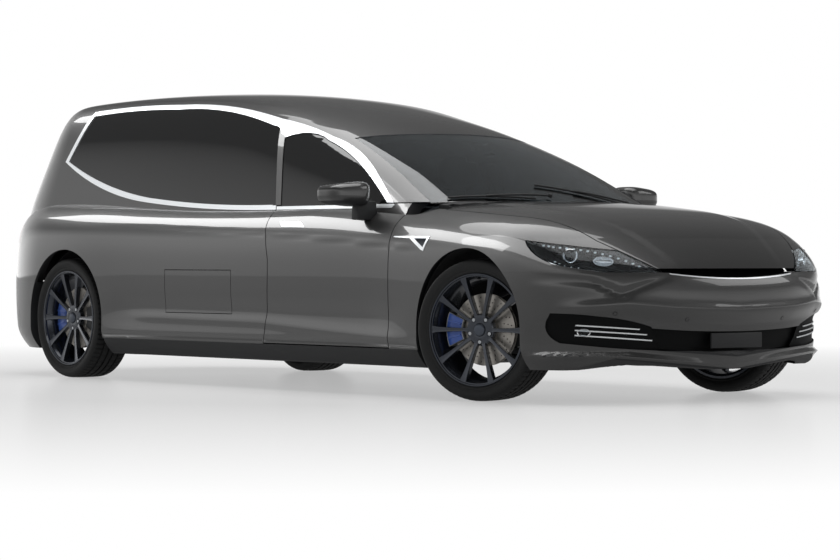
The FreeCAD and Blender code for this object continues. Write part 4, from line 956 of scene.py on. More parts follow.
# the nose: a slit with a bright line, the lower grille and the side ducts
slit_skin = layer("slit_skin", (12, 45, 12), (24, 60, 24))
slit_skin = common(slit_skin, block("tool", 2500, 3000, -500, 500, 560, 662))
slit_fill = panel(slit_skin, "nose_slit_fill", through_nose(NOSE_SLIT, 2600, 6.0))
bright_skin = layer("bright_skin", -1.5, 10)
bright_skin = common(bright_skin, block("tool", 2200, 3000, -1400, 1400, 200, 640))
slit_line = panel(bright_skin, "nose_slit_line", through_nose(SLIT_LINE, 2600))
grille_skin = layer("grille_skin", 26, 40)
duct_skin = layer("duct_skin", 9, 30)
grille_fill = panel(grille_skin, "lower_grille_panel", through_nose(GRILLE, 2400, 12.0))
cut(bumper, through_nose(NOSE_SLIT, 2600), through_nose(GRILLE, 2400))
cut(bumper, through_nose(DUCT, 2350), through_nose(mirrored_path(DUCT), 2350))
duct_fill = panel(duct_skin, "side_duct_panel", through_nose(DUCT, 2300, 3.0))
duct_lines = []
for y0, z0, y1, z1 in ((800, 386, 548, 366), (800, 362, 512, 340), (800, 338, 486, 312)):
    line = [(y0, z0), (y1, z1), (y1 + 3, z1 - 5.5), (y0, z0 - 6.5)]
    duct_lines.append(common(layer("duct_line", 5, 12), through_nose(line, 2300)))
duct_lines = joined("side_duct_lines", duct_lines)
for piece, inset, finish_of in ((slit_fill, 12.0, gloss_black), (slit_line, -1.5, bright_trim),
                                (grille_fill, 26.0, matt_black), (duct_fill, 9.0, matt_black),
                                (duct_lines, 5.0, bright_trim)):
    shade_skin(piece, inset, finish_of, finish_of)
put(slit_fill, "root", ["grilles"])
put(slit_line, "root")
put(grille_fill, "root", ["grilles"])
mirrored_pair(duct_fill, "root", ["grilles"])
mirrored_pair(duct_lines, "root")
for piece in (slit_skin, bright_skin, grille_skin, duct_skin):
    remove(piece)


def skin_spot(skin, start, ray, lift):
    """Where a ray from inside leaves a skin, lifted off it, and the outward direction there."""
    point = reach(skin, np.array([start]), np.array([ray]))
    normal, _ = skin_normals(skin, point)
    return Vector(point[0] + normal[0] * lift), Vector(normal[0])


def on_skin(y, z, inset=0.0, hint_x=2200.0):
    """A point on the nose at that width and height, that far inside, and the outward direction there."""
    return skin_spot(lower_skin, (hint_x, y * 0.86, z), (720.0, y * 0.14, 0.0), -inset)


def facing(thing, place, direction):
    """Turns a piece made along +Y to look that way, and puts it at its place."""
    turn = Vector((0, 1, 0)).rotation_difference(direction).to_matrix().to_4x4()
    thing.data.transform(Matrix.Translation(Vector(place) * MM) @ turn)
    return thing


# fog lamps, distance sensors and the blank plate holder
fog_bowl = spun("fog_lamp", [(0, -14), (9, -14), (17, -6), (19, 1), (22, 2), (22, -18), (0, -18)], 40)
fog_lens = spun("fog_lens", [(0, 3.5), (10, 3), (19, 0.5), (19, -1), (0, 1)], 40)
place, aim = on_skin(826, 348, 6)
for piece, finish_of in ((fog_bowl, chrome), (fog_lens, lens_clear)):
    piece.data.transform(Matrix.Diagonal((1.5, 1, 0.8, 1)))
    mirrored_pair(coat(facing(piece, place, aim), finish_of), "root")
for y, z in ((324, 410), (700, 440)):
    place, aim = on_skin(y, z, -0.5)
    sensor = spun("park_sensor", [(0, 1.5), (8, 1.2), (9, 0), (9.6, -3), (0, -3)], 32)
    ring = spun("sensor_ring", [(9.6, 0.6), (10.8, 0.8), (11.6, 0), (11.6, -3), (9.6, -3)], 32)
    mirrored_pair(coat(facing(sensor, place, aim), paint), "root")
    mirrored_pair(coat(facing(ring, place, aim), black_trim_and_sill_shade), "root")
holder = rounded(block("plate_holder", 2848, 2862, -170, 170, 268, 342), 4.0)
put(coat(holder, black_trim_and_sill_shade), "root")

# ---- headlamps -------------------------------------------------------------------------------------------
# light guide: milky acrylic that looks white where it is lit
light_guide = simple("frosted_acrylic_light_guide", "#E6EEF2", 0.002, 0.02, (0.25, 0.35),
                     Transmission_Weight=0.2)


LAMP_AIM = Vector((0.75, 0.55, 0.1)).normalized()


def lamp_spot(y, z, depth):
    """A place in the headlamp that far below its lens, looking out."""
    point, _ = on_skin(y, z, depth, 1900.0)
    return point, LAMP_AIM


lamp_lens = common(layer("lens", (0.5, 1, 0.5), (4.5, 9, 4.5)), left_half, keep=True)
lamp_lens = cut(common(lamp_lens, through_side(HEADLAMP, 300, grow=-0.6)), hood_room, keep=True)
lamp_lens.name = "headlamp_lens"
shade_skin(lamp_lens, 0.5, lens_clear, lens_clear)
mirrored_pair(lamp_lens, "root", ["headlamps"])
lamp_tray = common(layer("tray", (6, 12, 6), (72, 80, 66)), left_half, keep=True)
lamp_tray = cut(common(lamp_tray, through_side(HEADLAMP, 300, grow=-0.8)), hood_room, keep=True)
hollow = common(layer("hollow", (4, 6, 4), (48, 60, 46)), through_side(HEADLAMP, 300, grow=-7.0))
cut(lamp_tray, hollow)
lamp_tray.name = "headlamp_tray"
shade_skin(lamp_tray, 6.0, matt_black, matt_black)
mirrored_pair(lamp_tray, "root")

projector_lens = spun("glass", [(0, 13), (12, 11), (22, 5), (26, -3), (0, -3)], 40)
bezel = spun("bezel", [(25, -4), (27, 2), (33, 6), (36, 3), (36, -26), (25, -26)], 40)
projector = joined("projector", [coat(projector_lens, lens_clear), coat(bezel, chrome)])
mirrored_pair(facing(projector, *lamp_spot(813, 728, 22)), "root")
reflector = coat(spun("reflector", [(0, -20), (16, -15), (27, -4), (30, 2), (32, 2), (32, -22), (0, -22)],
                      40), chrome)
reflector.data.transform(Matrix.Diagonal((1.5, 1, 0.7, 1)))
mirrored_pair(facing(reflector, *lamp_spot(678, 703, 22)), "root")

# a string of small light guides along the lamp's upper edge, and a short one below
guides = []
upper = [(899, 771), (880, 768), (864, 764), (838, 761), (812, 758), (784, 754), (755, 750), (726, 745),
         (696, 738), (666, 730), (636, 720), (605, 709), (575, 697), (548, 684), (524, 671)]
lower = [(886, 690), (872, 680), (852, 671), (828, 665), (800, 661)]
for y, z in upper + lower:
    dot = spun("guide", [(0, 2.5), (3.5, 2), (5.5, 0), (5.5, -6), (0, -6)], 12)
    dot.data.transform(Matrix.Diagonal((1.25, 1, 0.8, 1)))
    guides.append(facing(dot, *lamp_spot(y, z, 11)))
mirrored_pair(coat(joined("light_guides", guides), light_guide), "root")


# ---- tail lamps ------------------------------------------------------------------------------------------
TAIL_BOX = (-3000, -2420, 650, 1100, 800, 905)
cut(side, block("tool", *TAIL_BOX))
TAIL_INSIDE = (-3000, -2421, 651, 1099, 801, 904)
tail_lens = layer("tail_lens", 1, 7)
tail_lens = common(tail_lens, block("tool", *TAIL_INSIDE))
shade_skin(tail_lens, 1.0, lens_red, lens_red)
mirrored_pair(tail_lens, "root", ["tail_lamps"])
tail_tray = layer("tail_tray", 28, (55, 45, 50))
tail_tray = common(tail_tray, block("tool", *TAIL_INSIDE))
shade_skin(tail_tray, 28.0, matt_black, matt_black)
mirrored_pair(tail_tray, "root", ["tail_lamps"])
tail_bars = layer("tail_bars", 12, 20)
bars = block("tool", -3000, -2440, 660, 1090, 884, 892)
for low, high in ((862, 868), (840, 846), (812, 820)):
    bars = join(bars, block("tool", -3000, -2440, 660, 1090, low, high))
tail_bars = common(tail_bars, bars)
shade_skin(tail_bars, 12.0, lens_red, lens_red)
mirrored_pair(tail_bars, "root")

# ---- the panels get their finishes and stand for their nodes ---------------------------------------------
for left, names, body, node, outer, inner in (
        (door, "door_skin", "door", "door", paint, cabin_trim),
        (hatch, "charge_hatch", "side_hatch", "side_hatch", paint, black_trim_and_sill_shade),
        (door_glass, "door_window", "door", "door_glass", privacy_glass, privacy_glass)):
    inset = GLASS_SINK if node == "door_glass" else 0.0
    shade_skin(left, inset, outer, inner)
    right = mirror_of(left, names + "_right")
    put(left, body + "_left", [node + "_left"])
    put(right, body + "_right", [node + "_right"])
shade_skin(side, 0.0, paint, cabin_trim)
put(side, "root", ["body_side_left"])
put(mirror_of(side, "body_side_right_skin"), "root", ["body_side_right"])
for left, name, node, inset, outer, inner in (
        (side_glass, "bay_window", "side_windows", GLASS_SINK, privacy_glass, privacy_glass),
        (fender, "fender_skin", "front_fenders", 0.0, paint, steel_black),
        # the sills are body colour; their black plastic is painted shade, for the shade under the body's side
        (sill, "sill", "sills", 0.0, black_trim_and_sill_shade, black_trim_and_sill_shade)):
    shade_skin(left, inset, outer, inner)
    right = mirror_of(left, name + "_right")
    put(left, "root", [node])
    put(right, "root", [node])
for piece, node, body, inset, outer, inner in (
        (windscreen, "windscreen", "root", GLASS_SINK, screen_glass, screen_glass),
        (roof, "roof", "root", 0.0, paint, headlining),
        (hood, "hood", "hood", 0.0, paint, steel_black),
        (bumper, "front_bumper", "root", 0.0, paint, black_trim_and_sill_shade),
        (rear_bumper, "rear_bumper", "root", 0.0, paint, black_trim_and_sill_shade),
        (gate, "tailgate", "tailgate", 0.0, paint, cabin_trim),
        (gate_glass, "tailgate_glass", "tailgate", GLASS_SINK, privacy_glass, privacy_glass)):
    shade_skin(piece, inset, outer, inner)
    put(piece, body, [node])

for tool in (left_half, door_room, gate_room, screen_hole, hood_room, skin_lower, skin_cabin, room_lower,
             room_cabin, whole, side_shell, glass_shell, fender_shell, lip_room):
    remove(tool)

# ---- wheels, made for the left with the axle along Y -----------------------------------------------------
RIM_SEAT_R, RIM_FLANGE_R, RIM_HALF = 264.0, 279.0, 112.0
SPOKES, HUB_FACE_Y, DISC_R = 10, 46.0, 178.0
NUT_CIRCLE_R = 60.0
TYRE_STEPS = 288        # round the tyre; its cross cuts fall on every fourth and sixth of them


def tyre_piece():
    """A low tyre: a rim guard, a rounded sidewall, four grooves round it and cross cuts in its shoulders."""
    half = TYRE_WIDTH / 2
    side = [(264.4, 103), (272, 104), (281, 107), (286, 112), (290, 113.5), (294, 112.5), (300, 117),
            (310, 121), (322, half), (331, half - 1.2), (338, half - 5), (343.5, half - 11),
            (347, half - 19), (349.3, 94)]
    tread = [(350.5, 84), (351, 66), (343.5, 64.5), (343.5, 54.5), (351.6, 53), (351.8, 25), (344, 23.5),
             (344, 12.5), (352, 11)]
    inner = [(342, 90), (318, 108), (296, 104), (264.4, 84)]
    out = side + tread
    ring = out + [(r, -y) for r, y in out[::-1]] + [(r, -y) for r, y in inner[::-1]] + inner
    tyre = spun("tyre", ring, TYRE_STEPS)
    for corner in tyre.data.vertices:
        x, y, z = corner.co / MM
        r = math.hypot(x, z)
        step = round(math.degrees(math.atan2(x, z)) / (360 / TYRE_STEPS)) % TYRE_STEPS
        if r > 346 and 60 < abs(y) and step % 4 == (0 if y > 0 else 2):
            corner.co.x *= (r - 5.5) / r
            corner.co.z *= (r - 5.5) / r
        elif r > 349 and 20 < abs(y) < 60 and step % 6 == 0:
            corner.co.x *= (r - 3.5) / r
            corner.co.z *= (r - 3.5) / r
    return coat(done(tyre), rubber)


def spoke_piece(turn):
    """One tapered spoke: a flat face with drawn edges and a deep root, swept in towards the hub."""
    rings = []
    for r, face_y, width, depth in ((48, 74, 30, 24), (66, 77, 24, 26), (90, 81, 18.5, 28),
                                    (125, 86.5, 18.5, 30), (165, 92, 20.5, 32), (205, 97, 24, 33),
                                    (238, 101.5, 29, 34), (262, 104.5, 38, 32), (271, 105, 44, 28)):
        w = width / 2
        ring = [(-w + 1.5, face_y), (0, face_y - 1.2), (w - 1.5, face_y), (w, face_y - 3),
                (w - 3.5, face_y - depth), (-w + 3.5, face_y - depth), (-w, face_y - 3)]
        rings.append([(a * math.cos(turn) + r * math.sin(turn), y, r * math.cos(turn) - a * math.sin(turn))
                      for a, y in ring])
    return loft("spoke", rings)


def nut_places(y):
    """The five nuts' places round the hub, at that y."""
    turns = [math.radians(72 * k + 36) for k in range(5)]
    return [(NUT_CIRCLE_R * math.sin(turn), y, NUT_CIRCLE_R * math.cos(turn)) for turn in turns]


def drill(sides, r, length, place):
    """A round tool along the axle."""
    bpy.ops.mesh.primitive_cylinder_add(vertices=sides, radius=r * MM, depth=length * MM,
                                        rotation=(math.pi / 2, 0, 0), location=Vector(place) * MM)
    return done(bpy.context.object)


def rim_piece():
    """Barrel, lip, ten spokes, the hub with its five nut pockets."""
    lip = [(RIM_FLANGE_R - 2, RIM_HALF), (RIM_FLANGE_R, RIM_HALF - 2), (RIM_FLANGE_R, 106), (RIM_SEAT_R, 104),
           (RIM_SEAT_R, 80), (250, 66), (250, -50), (RIM_SEAT_R, -78), (RIM_SEAT_R, -104),
           (RIM_FLANGE_R, -106), (RIM_FLANGE_R, -RIM_HALF), (268, -RIM_HALF), (254, -100), (243, -50),
           (243, 40), (246, 60), (252, 74), (258, 88), (266, 98), (269, 106), (271, RIM_HALF)]
    barrel = spun("barrel", lip, 144)
    hub = spun("hub", [(0, 70), (30, 70), (32, 72), (33.5, 79), (38, 80), (72, 77), (78, 72),
                       (78, HUB_FACE_Y), (30, HUB_FACE_Y), (0, HUB_FACE_Y)], 90)
    for place in nut_places(76):
        cut(hub, drill(24, 13.5, 36, place))
    spokes = [spoke_piece(2 * math.pi * (k + 0.5) / SPOKES) for k in range(SPOKES)]
    rim = joined("rim", [barrel, hub] + spokes)
    valve = peg("valve", 12, 4.0, 30, (0, 84, 252))
    return coat(done(rim, 32), alloy_paint), coat(valve, rubber)


def hub_trim():
    """The plain domed cap and five domed nuts."""
    cap = spun("cap", [(0, 90.5), (12, 90), (22, 88.6), (28, 86.4), (31, 83), (31.5, 71), (0, 71)], 64)
    nuts = [peg("nut", 6, 10.5, 20, place) for place in nut_places(70)]
    return coat(cap, cap_finish), coat(joined("nuts", nuts), nut_finish)


def disc_piece():
    """A vented brake disc on its bell, with a ring of cross holes."""
    disc = spun("disc", [(25.3, 5), (80, 5), (84, 5), (DISC_R, 5), (DISC_R, 14), (DISC_R - 6, 15.5),
                         (DISC_R - 6, 22.5), (DISC_R, 24), (DISC_R, 33), (100, 33), (98, 31.5), (84, 31.5),
                         (80, 36), (78, 45.6), (25.3, 45.6)], 120)
    drills = []
    for k in range(24):
        for r in (118, 140, 160):
            turn = math.radians(15 * k + (r - 118) * 0.16)
            drills.append(drill(10, 3.6, 40, (r * math.sin(turn), 19, r * math.cos(turn))))
    cut(disc, joined("drills", drills))
    return coat(done(disc, 32), cast_iron)


def caliper_piece(side):
    """A fixed caliper over the disc, with a ribbed bridge. side is +1 ahead of the hub."""
    outline_ry = [(119, -33), (212, -33), (219, -24), (220, 40), (216, 50), (206, 56), (168, 57),
                  (150, 56.5), (126, 56), (119, 50), (119, 38.5), (185, 38.5), (185, -0.5), (119, -0.5)]
    body = spun("caliper", outline_ry, 12, 46, 113 if side > 0 else 293)
    ribs = []
    for turn in (-12, 0, 12):
        a = math.radians((90 if side > 0 else 270) + turn)
        rib = block("rib", -5, 5, 54, 61, 128, 206)
        rib.data.transform(Matrix.Rotation(a, 4, "Y"))
        ribs.append(rounded(rib, 2.0))
    return coat(done(joined("caliper", [rounded(body, 3.0, 2, 40)] + ribs)), caliper_paint)


def on_wheel(thing, name, end, left):
    """Moves a wheel piece to its wheel. The front wheels stand steered, each round its own kingpin."""
    axle_x, track = (FRONT_AXLE_X, FRONT_TRACK) if end == "front" else (REAR_AXLE_X, REAR_TRACK)
    placed = copy_of(thing, name + "_" + end + ("_left" if left else "_right"))
    placed.data.transform(Matrix.Translation(Vector((axle_x, track / 2, TYRE_R)) * MM))
    if not left:
        turned_over(placed)
    if end == "front":
        kingpin = Vector((axle_x, (track / 2 - KINGPIN_INSET) * (1 if left else -1), 0)) * MM
        placed.data.transform(Matrix.Translation(kingpin) @ Matrix.Rotation(PARKED_STEER, 4, "Z")
                              @ Matrix.Translation(-kingpin))
    return placed


# moulded cap with a satin metallic paint
cap_finish = simple("satin_moulded_hub_cap", "#4A505A", 0.003, 0.03, (0.3, 0.38), Metallic=0.5)
# zinc plate: a pale, smooth metal
nut_finish = simple("zinc_plated_wheel_nut", "#B9BCC0", 0.002, 0.04, (0.2, 0.3), Metallic=1.0)
wheel_pieces = [(tyre_piece(), "tyre", "tyre")]
wheel_pieces += [(piece, name, node) for piece, name, node in zip(rim_piece() + hub_trim(),
                 ("rim", "tyre_valve", "hub_cap", "wheel_nuts"), ("rim", "rim", "rim", "rim"))]
wheel_pieces.append((disc_piece(), "brake_disc", "brake_disc"))
calipers = {"front": caliper_piece(-1), "rear": caliper_piece(-1)}
for end in ("front", "rear"):
    for left in (True, False):
        hand = "left" if left else "right"
        for piece, name, node in wheel_pieces:
            placed = on_wheel(piece, name, end, left)
            put(placed, "wheel_" + end + "_" + hand, [node + "_" + end + "_" + hand])
        put(on_wheel(calipers[end], "caliper", end, left), "knuckle_" + hand if end == "front" else "root")
for piece, name, node in wheel_pieces:
    remove(piece)
for piece in calipers.values():
    remove(piece)


# ---- cabin -----------------------------------------------------------------------------------------------
def pillow(name, centre, size, power=5.0, grooves=(), groove_axis=1, face=2, depth=0.10, cuts=22):
    """A rounded cushion. grooves are the places, from -1 to 1, of the stitched channels on one face."""
    bpy.ops.mesh.primitive_cube_add(size=2)
    thing = bpy.context.object
    thing.name = name
    bpy.ops.object.mode_set(mode="EDIT")
    bpy.ops.mesh.subdivide(number_cuts=cuts)
    bpy.ops.object.mode_set(mode="OBJECT")
    for corner in thing.data.vertices:
        spot = np.array(corner.co)
        reach_to = np.abs(spot).max()
        spot = spot * reach_to / (np.abs(spot) ** power).sum() ** (1 / power)
        if spot[face] > 0:
            spot[face] -= depth * sum(math.exp(-((spot[groove_axis] - at) / 0.035) ** 2) for at in grooves)
        corner.co = spot * np.array(size) * MM / 2
    bpy.ops.object.shade_smooth()
    bpy.ops.object.select_all(action="DESELECT")
    place_at(thing, centre)
    return thing


def place_at(thing, centre, lean=0.0):
    """Leans a piece back about the Y axis and moves it to its place, in its mesh."""
    thing.data.transform(Matrix.Translation(Vector(centre) * MM)
                         @ Matrix.Rotation(math.radians(lean), 4, "Y"))
    return thing


# the seats: padded cushions with stitched channels, on a frame with two rails
SEAT_Y, SEAT_LEAN = 380, -12.5
for sign, hand in ((1, "left"), (-1, "right")):
    y = sign * SEAT_Y
    cushion = place_at(pillow("seat_cushion_" + hand, (0, 0, 0), (520, 330, 130), 4.5, (-0.5, 0.0, 0.5), 0),
                       (600, y, 408), -5)
    back = place_at(pillow("seat_back_" + hand, (0, 0, 0), (105, 320, 610), 4.5, (-0.55, -0.2, 0.15, 0.5),
                           2, 0, 0.14), (265, y, 765), SEAT_LEAN)
    head = place_at(pillow("head_restraint_" + hand, (0, 0, 0), (92, 258, 176), 3.4), (203, y, 1196),
                    SEAT_LEAN)
    soft = [cushion, back, head]
    for wing in (-1, 1):
        soft.append(place_at(pillow("cushion_wing_" + hand, (0, 0, 0), (500, 92, 150), 3.2),
                             (598, y + wing * 202, 425), -5))
        soft.append(place_at(pillow("back_wing_" + hand, (0, 0, 0), (150, 88, 560), 3.0),
                             (278, y + wing * 200, 745), SEAT_LEAN))
    for piece in soft:
        coat(piece, leather)
        put(piece, "root", ["front_seats"])
    shell = [rounded(block("base", 330, 850, y - 225, y + 225, 322, 368), 14.0),
             place_at(rounded(block("back_shell", -28, 24, -215, 215, -300, 300), 18.0), (208, y, 760),
                      SEAT_LEAN)]
    for dy in (-60, 60):
        shell.append(peg("post", 20, 7.0, 90, (196, y + dy, 1060), "Z"))
    for dy in (-190, 190):
        shell.append(rounded(block("rail", 320, 840, y + dy - 22, y + dy + 22, 264, 322), 4.0))
    put(coat(done(joined("seat_frame_" + hand, shell)), black_trim_and_sill_shade), "root", ["front_seats"])

# dashboard, blank middle screen, air slots, console and wheel
fascia = rounded(prism("fascia", [(1046, 705), (1014, 880), ((1078, 960), (1180, 966)), (1355, 966),
                                  (1355, 565), (1240, 565)], "y", -690, 690), 12.0)
coat(fascia, leather)
put(fascia, "root", ["dashboard"])
console = rounded(prism("console", [(424, 264), (424, 520), (470, 548), (900, 552), (1040, 640),
                                    (1180, 760), (1180, 264)], "y", -125, 125), 10.0)
put(coat(console, black_trim_and_sill_shade), "root", ["dashboard"])
arm_rest = place_at(pillow("arm_rest", (0, 0, 0), (300, 190, 60), 4.0), (560, 0, 562))
put(coat(arm_rest, leather), "root")
details = [place_at(rounded(block("screen", -8, 8, -110, 110, -150, 150), 5.0), (1018, 0, 800), -14),
           place_at(rounded(block("dials", -8, 8, -140, 140, -52, 52), 5.0), (1002, 380, 915), -16)]
put(coat(joined("blank_screens", details), gloss_black), "root")
slots = [rounded(block("slot", 1002, 1016, y - 90, y + 90, z, z + 9), 2.0) for y in (-560, -200, 200, 560)
         for z in (868, 884)]
put(coat(joined("air_slots", slots), bright_trim), "root")

HUB, TILT = (905, 380, 850), 21.6
bpy.ops.mesh.primitive_torus_add(major_radius=180 * MM, minor_radius=15 * MM, major_segments=64,
                                 minor_segments=16)
wheel_ring = bpy.context.object
wheel_ring.data.transform(Matrix.Rotation(math.radians(90), 4, "Y"))
wheel_parts = [done(wheel_ring),
               place_at(pillow("boss", (0, 0, 0), (60, 150, 130), 3.0, cuts=10), (-12, 0, 0)),
               rounded(block("spoke", -14, 8, -172, 172, -22, 20), 6.0),
               rounded(block("spoke", -14, 8, -24, 24, -172, 0), 6.0),
               peg("column", 32, 32.0, 130, (85, 0, 0), "X")]
steering = coat(joined("steering_wheel_rim", wheel_parts), leather)
steering.data.transform(Matrix.Translation(Vector(HUB) * MM) @ Matrix.Rotation(math.radians(TILT), 4, "Y"))
put(steering, "root", ["steering_wheel"])

# carpets and the bier deck with its rollers, side rails and stops
carpets = [rounded(block("carpet", -1150, 1340, -700, 700, 262, 274), 4.0),
           rounded(block("carpet", -2700, -1420, -466, 466, 536, 545), 3.0)]
put(coat(joined("carpets", carpets), carpet), "root")
deck = [coat(rounded(block("deck", -2650, -170, -470, 470, 572, 600), 6.0), walnut)]
deck += [coat(rounded(block("leg", x, x + 60, y - 30, y + 30, 264 if x > -1300 else 537, 573), 4.0),
              steel_black)
         for x in (-2600, -1800, -1360, -1180, -260) for y in (-400, 400)]
deck += [coat(rounded(block("rail", -2645, -175, y - 9, y + 9, 598, 622), 4.0), bright_trim)
         for y in (-455, -180, 180, 455)]
for x in range(-2600, -200, 400):
    roller = spun("roller", [(0, -340), (20, -340), (22, -336), (22, -40), (18, -34), (18, 34), (22, 40),
                             (22, 336), (20, 340), (0, 340)], 32)
    deck.append(place_at(coat(roller, stainless), (x, 0, 608)))
for x, y in ((-2380, 330), (-2380, -330), (-420, 330), (-420, -330)):
    deck.append(coat(peg("bier_pin", 24, 14.0, 90, (x, y, 640), "Z"), bright_trim))
put(joined("bier_deck_top", deck), "root", ["bier_deck"])


# ---- door mirrors, inner mirror and wipers ---------------------------------------------------------------
MIRROR, MIRROR_SIZE = (1004, 1008, 1036), (212, 236, 134)
housing = pillow("mirror_cap", MIRROR, MIRROR_SIZE, 3.8)
for corner in housing.data.vertices:
    out = (corner.co.y / MM - MIRROR[1]) / MIRROR_SIZE[1] + 0.5
    corner.co.z = (1030 + (corner.co.z / MM - 1030) * (1.06 - 0.34 * out)) * MM
    corner.co.x -= 20 * out ** 2 * MM
MIRROR_FACE_X = 930
cut(housing, block("tool", 700, MIRROR_FACE_X, 700, 1300, 900, 1200))
done(housing, 40)
under = copy_of(housing, "mirror_under")
cut(housing, block("tool", 700, 1300, 700, 1300, 900, 1000))
cut(under, block("tool", 700, 1300, 700, 1300, 1000.5, 1200))
glass = place_at(pillow("mirror_glass", (0, 0, 0), (8, 176, 92), 6.0, cuts=12),
                 (MIRROR_FACE_X - 2, 1002, 1036))
foot = rounded(prism("mirror_foot", [(1016, 902), (1080, 902), (1062, 1000), (1024, 1000)], "y", 842, 972),
               7.0)
for piece, finish_of in ((housing, paint), (under, black_trim_and_sill_shade), (glass, chrome), (foot, black_trim_and_sill_shade)):
    coat(piece, finish_of)
    twin = mirror_of(piece, piece.name + "_right")
    piece.name += "_left"
    put(piece, "door_left", ["mirror_left"])
    put(twin, "door_right", ["mirror_right"])

inner_mirror = [coat(pillow("inner_mirror", (905, 0, 1245), (34, 240, 62), 4.0, cuts=12), black_trim_and_sill_shade),
                coat(pillow("inner_mirror_glass", (887, 0, 1245), (6, 226, 52), 6.0, cuts=8), chrome),
                coat(rounded(block("stem", 905, 985, -16, 16, 1246, 1262), 5.0), black_trim_and_sill_shade)]
put(joined("inner_mirror_set", inner_mirror), "root")


def on_screen(x, y, lift):
    """A point on the windscreen at that x and y, lifted off it."""
    return skin_spot(cabin_skin, (x, y, 700.0), (0.0, 0.0, 700.0), lift)


def strip(name, stops, width, height):
    """A bar of that width and height along points given with their outward directions."""
    rings = []
    for i, (spot, up) in enumerate(stops):
        along = (stops[min(i + 1, len(stops) - 1)][0] - stops[max(i - 1, 0)][0]).normalized()
        across = along.cross(up).normalized()
        rings.append([spot + across * a * width / 2 + up * b * height / 2
                      for a, b in ((-1, -1), (-1, 0.4), (-0.6, 1), (0.6, 1), (1, 0.4), (1, -1))])
    return done(loft(name, rings), 40)


for name, pivot_y, tip_y, tip_x in (("driver", 560, -20, 1440), ("passenger", -80, -600, 1440)):
    arm = [on_screen(1545 + (tip_x - 1545) * t, pivot_y + (tip_y - pivot_y) * t, 16 - 6 * t) for t in
           (0.0, 0.15, 0.3, 0.45, 0.6, 0.7)]
    blade = [on_screen(1575 + (tip_x - 40 - 1575) * t, pivot_y - 40 + (tip_y - pivot_y) * t, 6) for t in
             (0.12, 0.25, 0.4, 0.55, 0.7, 0.85, 1.0)]
    wiper = joined("wiper_" + name, [strip("arm", arm, 13, 8), strip("blade", blade, 10, 9),
                                     facing(spun("pivot", [(0, 9), (10, 8), (13, 3), (13, -9), (0, -9)], 24),
                                            *arm[0])])
    put(coat(wiper, black_trim_and_sill_shade), "root")


# ---- the back --------------------------------------------------------------------------------------------
def at_back(y, z, lift=0.0):
    """A point on the tail at that width and height, lifted off it, and the outward direction."""
    return skin_spot(lower_skin, (-2000.0, y * 0.9, z), (-700.0, y * 0.1, 0.0), lift)


plate_spot, plate_aim = at_back(0, 740, 5)
plate_back = rounded(block("plate", -265, 265, -6, 4, -60, 60), 3.0)
put(coat(facing(plate_back, plate_spot, plate_aim), matt_black), "tailgate")
blank = rounded(block("plate", -257, 257, 3, 6.5, -54, 54), 1.5)
put(coat(facing(blank, plate_spot, plate_aim), blank_plate), "tailgate")
grip_stops = [at_back(y, 842, 7) for y in range(-280, 281, 40)]
put(coat(strip("tailgate_grip", grip_stops, 24, 16), bright_trim), "tailgate")
lower_trim = [at_back(y, 250, 4) for y in range(-700, 701, 50)]
put(coat(strip("rear_lower_trim", lower_trim, 92, 10), black_trim_and_sill_shade), "root")
for y in (-560, 560):
    spot, aim = at_back(y, 420, 3)
    red = rounded(block("rear_reflector", -70, 70, -5, 5, -11, 11), 3.0)
    put(coat(facing(red, spot, aim), lens_red), "root")
step_stops = [at_back(y, 545, 1) for y in range(-560, 561, 40)]
put(coat(strip("bumper_step", step_stops, 10, 4), black_trim_and_sill_shade), "root")


# ---- finishes of the pieces that stay as they are --------------------------------------------------------
FINISHES = {"knuckle": cast_alloy, "suspension": steel_black, "mirror": paint, "headlamps": gloss_black,
            "tail_lamps": lens_red, "floor_pan": steel_black, "battery_pack": cast_alloy,
            "bulkhead": steel_black, "front_rails": steel_black, "drive_units": cast_alloy,
            "drive_shafts": stainless, "seats": leather, "bier_deck": stainless, "liners": carpet,
            "trunk_tub": carpet, "hinge_brackets": steel_black, "steering_wheel": leather,
            "dashboard": leather, "grilles": gloss_black}
shown = {thing.name for thing in bpy.data.objects}
for node in frame["nodes"]:
    if frame["nodes"][node].name in shown:
        finishes = [finish_of for word, finish_of in FINISHES.items() if word in node]
        coat(frame["nodes"][node], finishes[0] if finishes else black_trim_and_sill_shade)


# ---- stage, camera and lamps -----------------------------------------------------------------------------
bpy.ops.mesh.primitive_plane_add(size=240, location=(0, 0, 0))
floor = bpy.context.object
floor.name = "floor"
floor_paper, tree, shader = finish("white_studio_floor", Base_Color=colour("#EFEFEF"), Roughness=0.5,
                                   Specular_IOR_Level=0.35)
place = add(tree, "ShaderNodeTexCoord").outputs["Object"]
noise = add(tree, "ShaderNodeTexNoise", [(place, "Vector")], Scale=0.4)
shade = add(tree, "ShaderNodeMapRange", [(noise.outputs[0], "Value")], To_Min=0.22, To_Max=0.28)
tree.links.new(shade.outputs[0], shader.inputs["Roughness"])
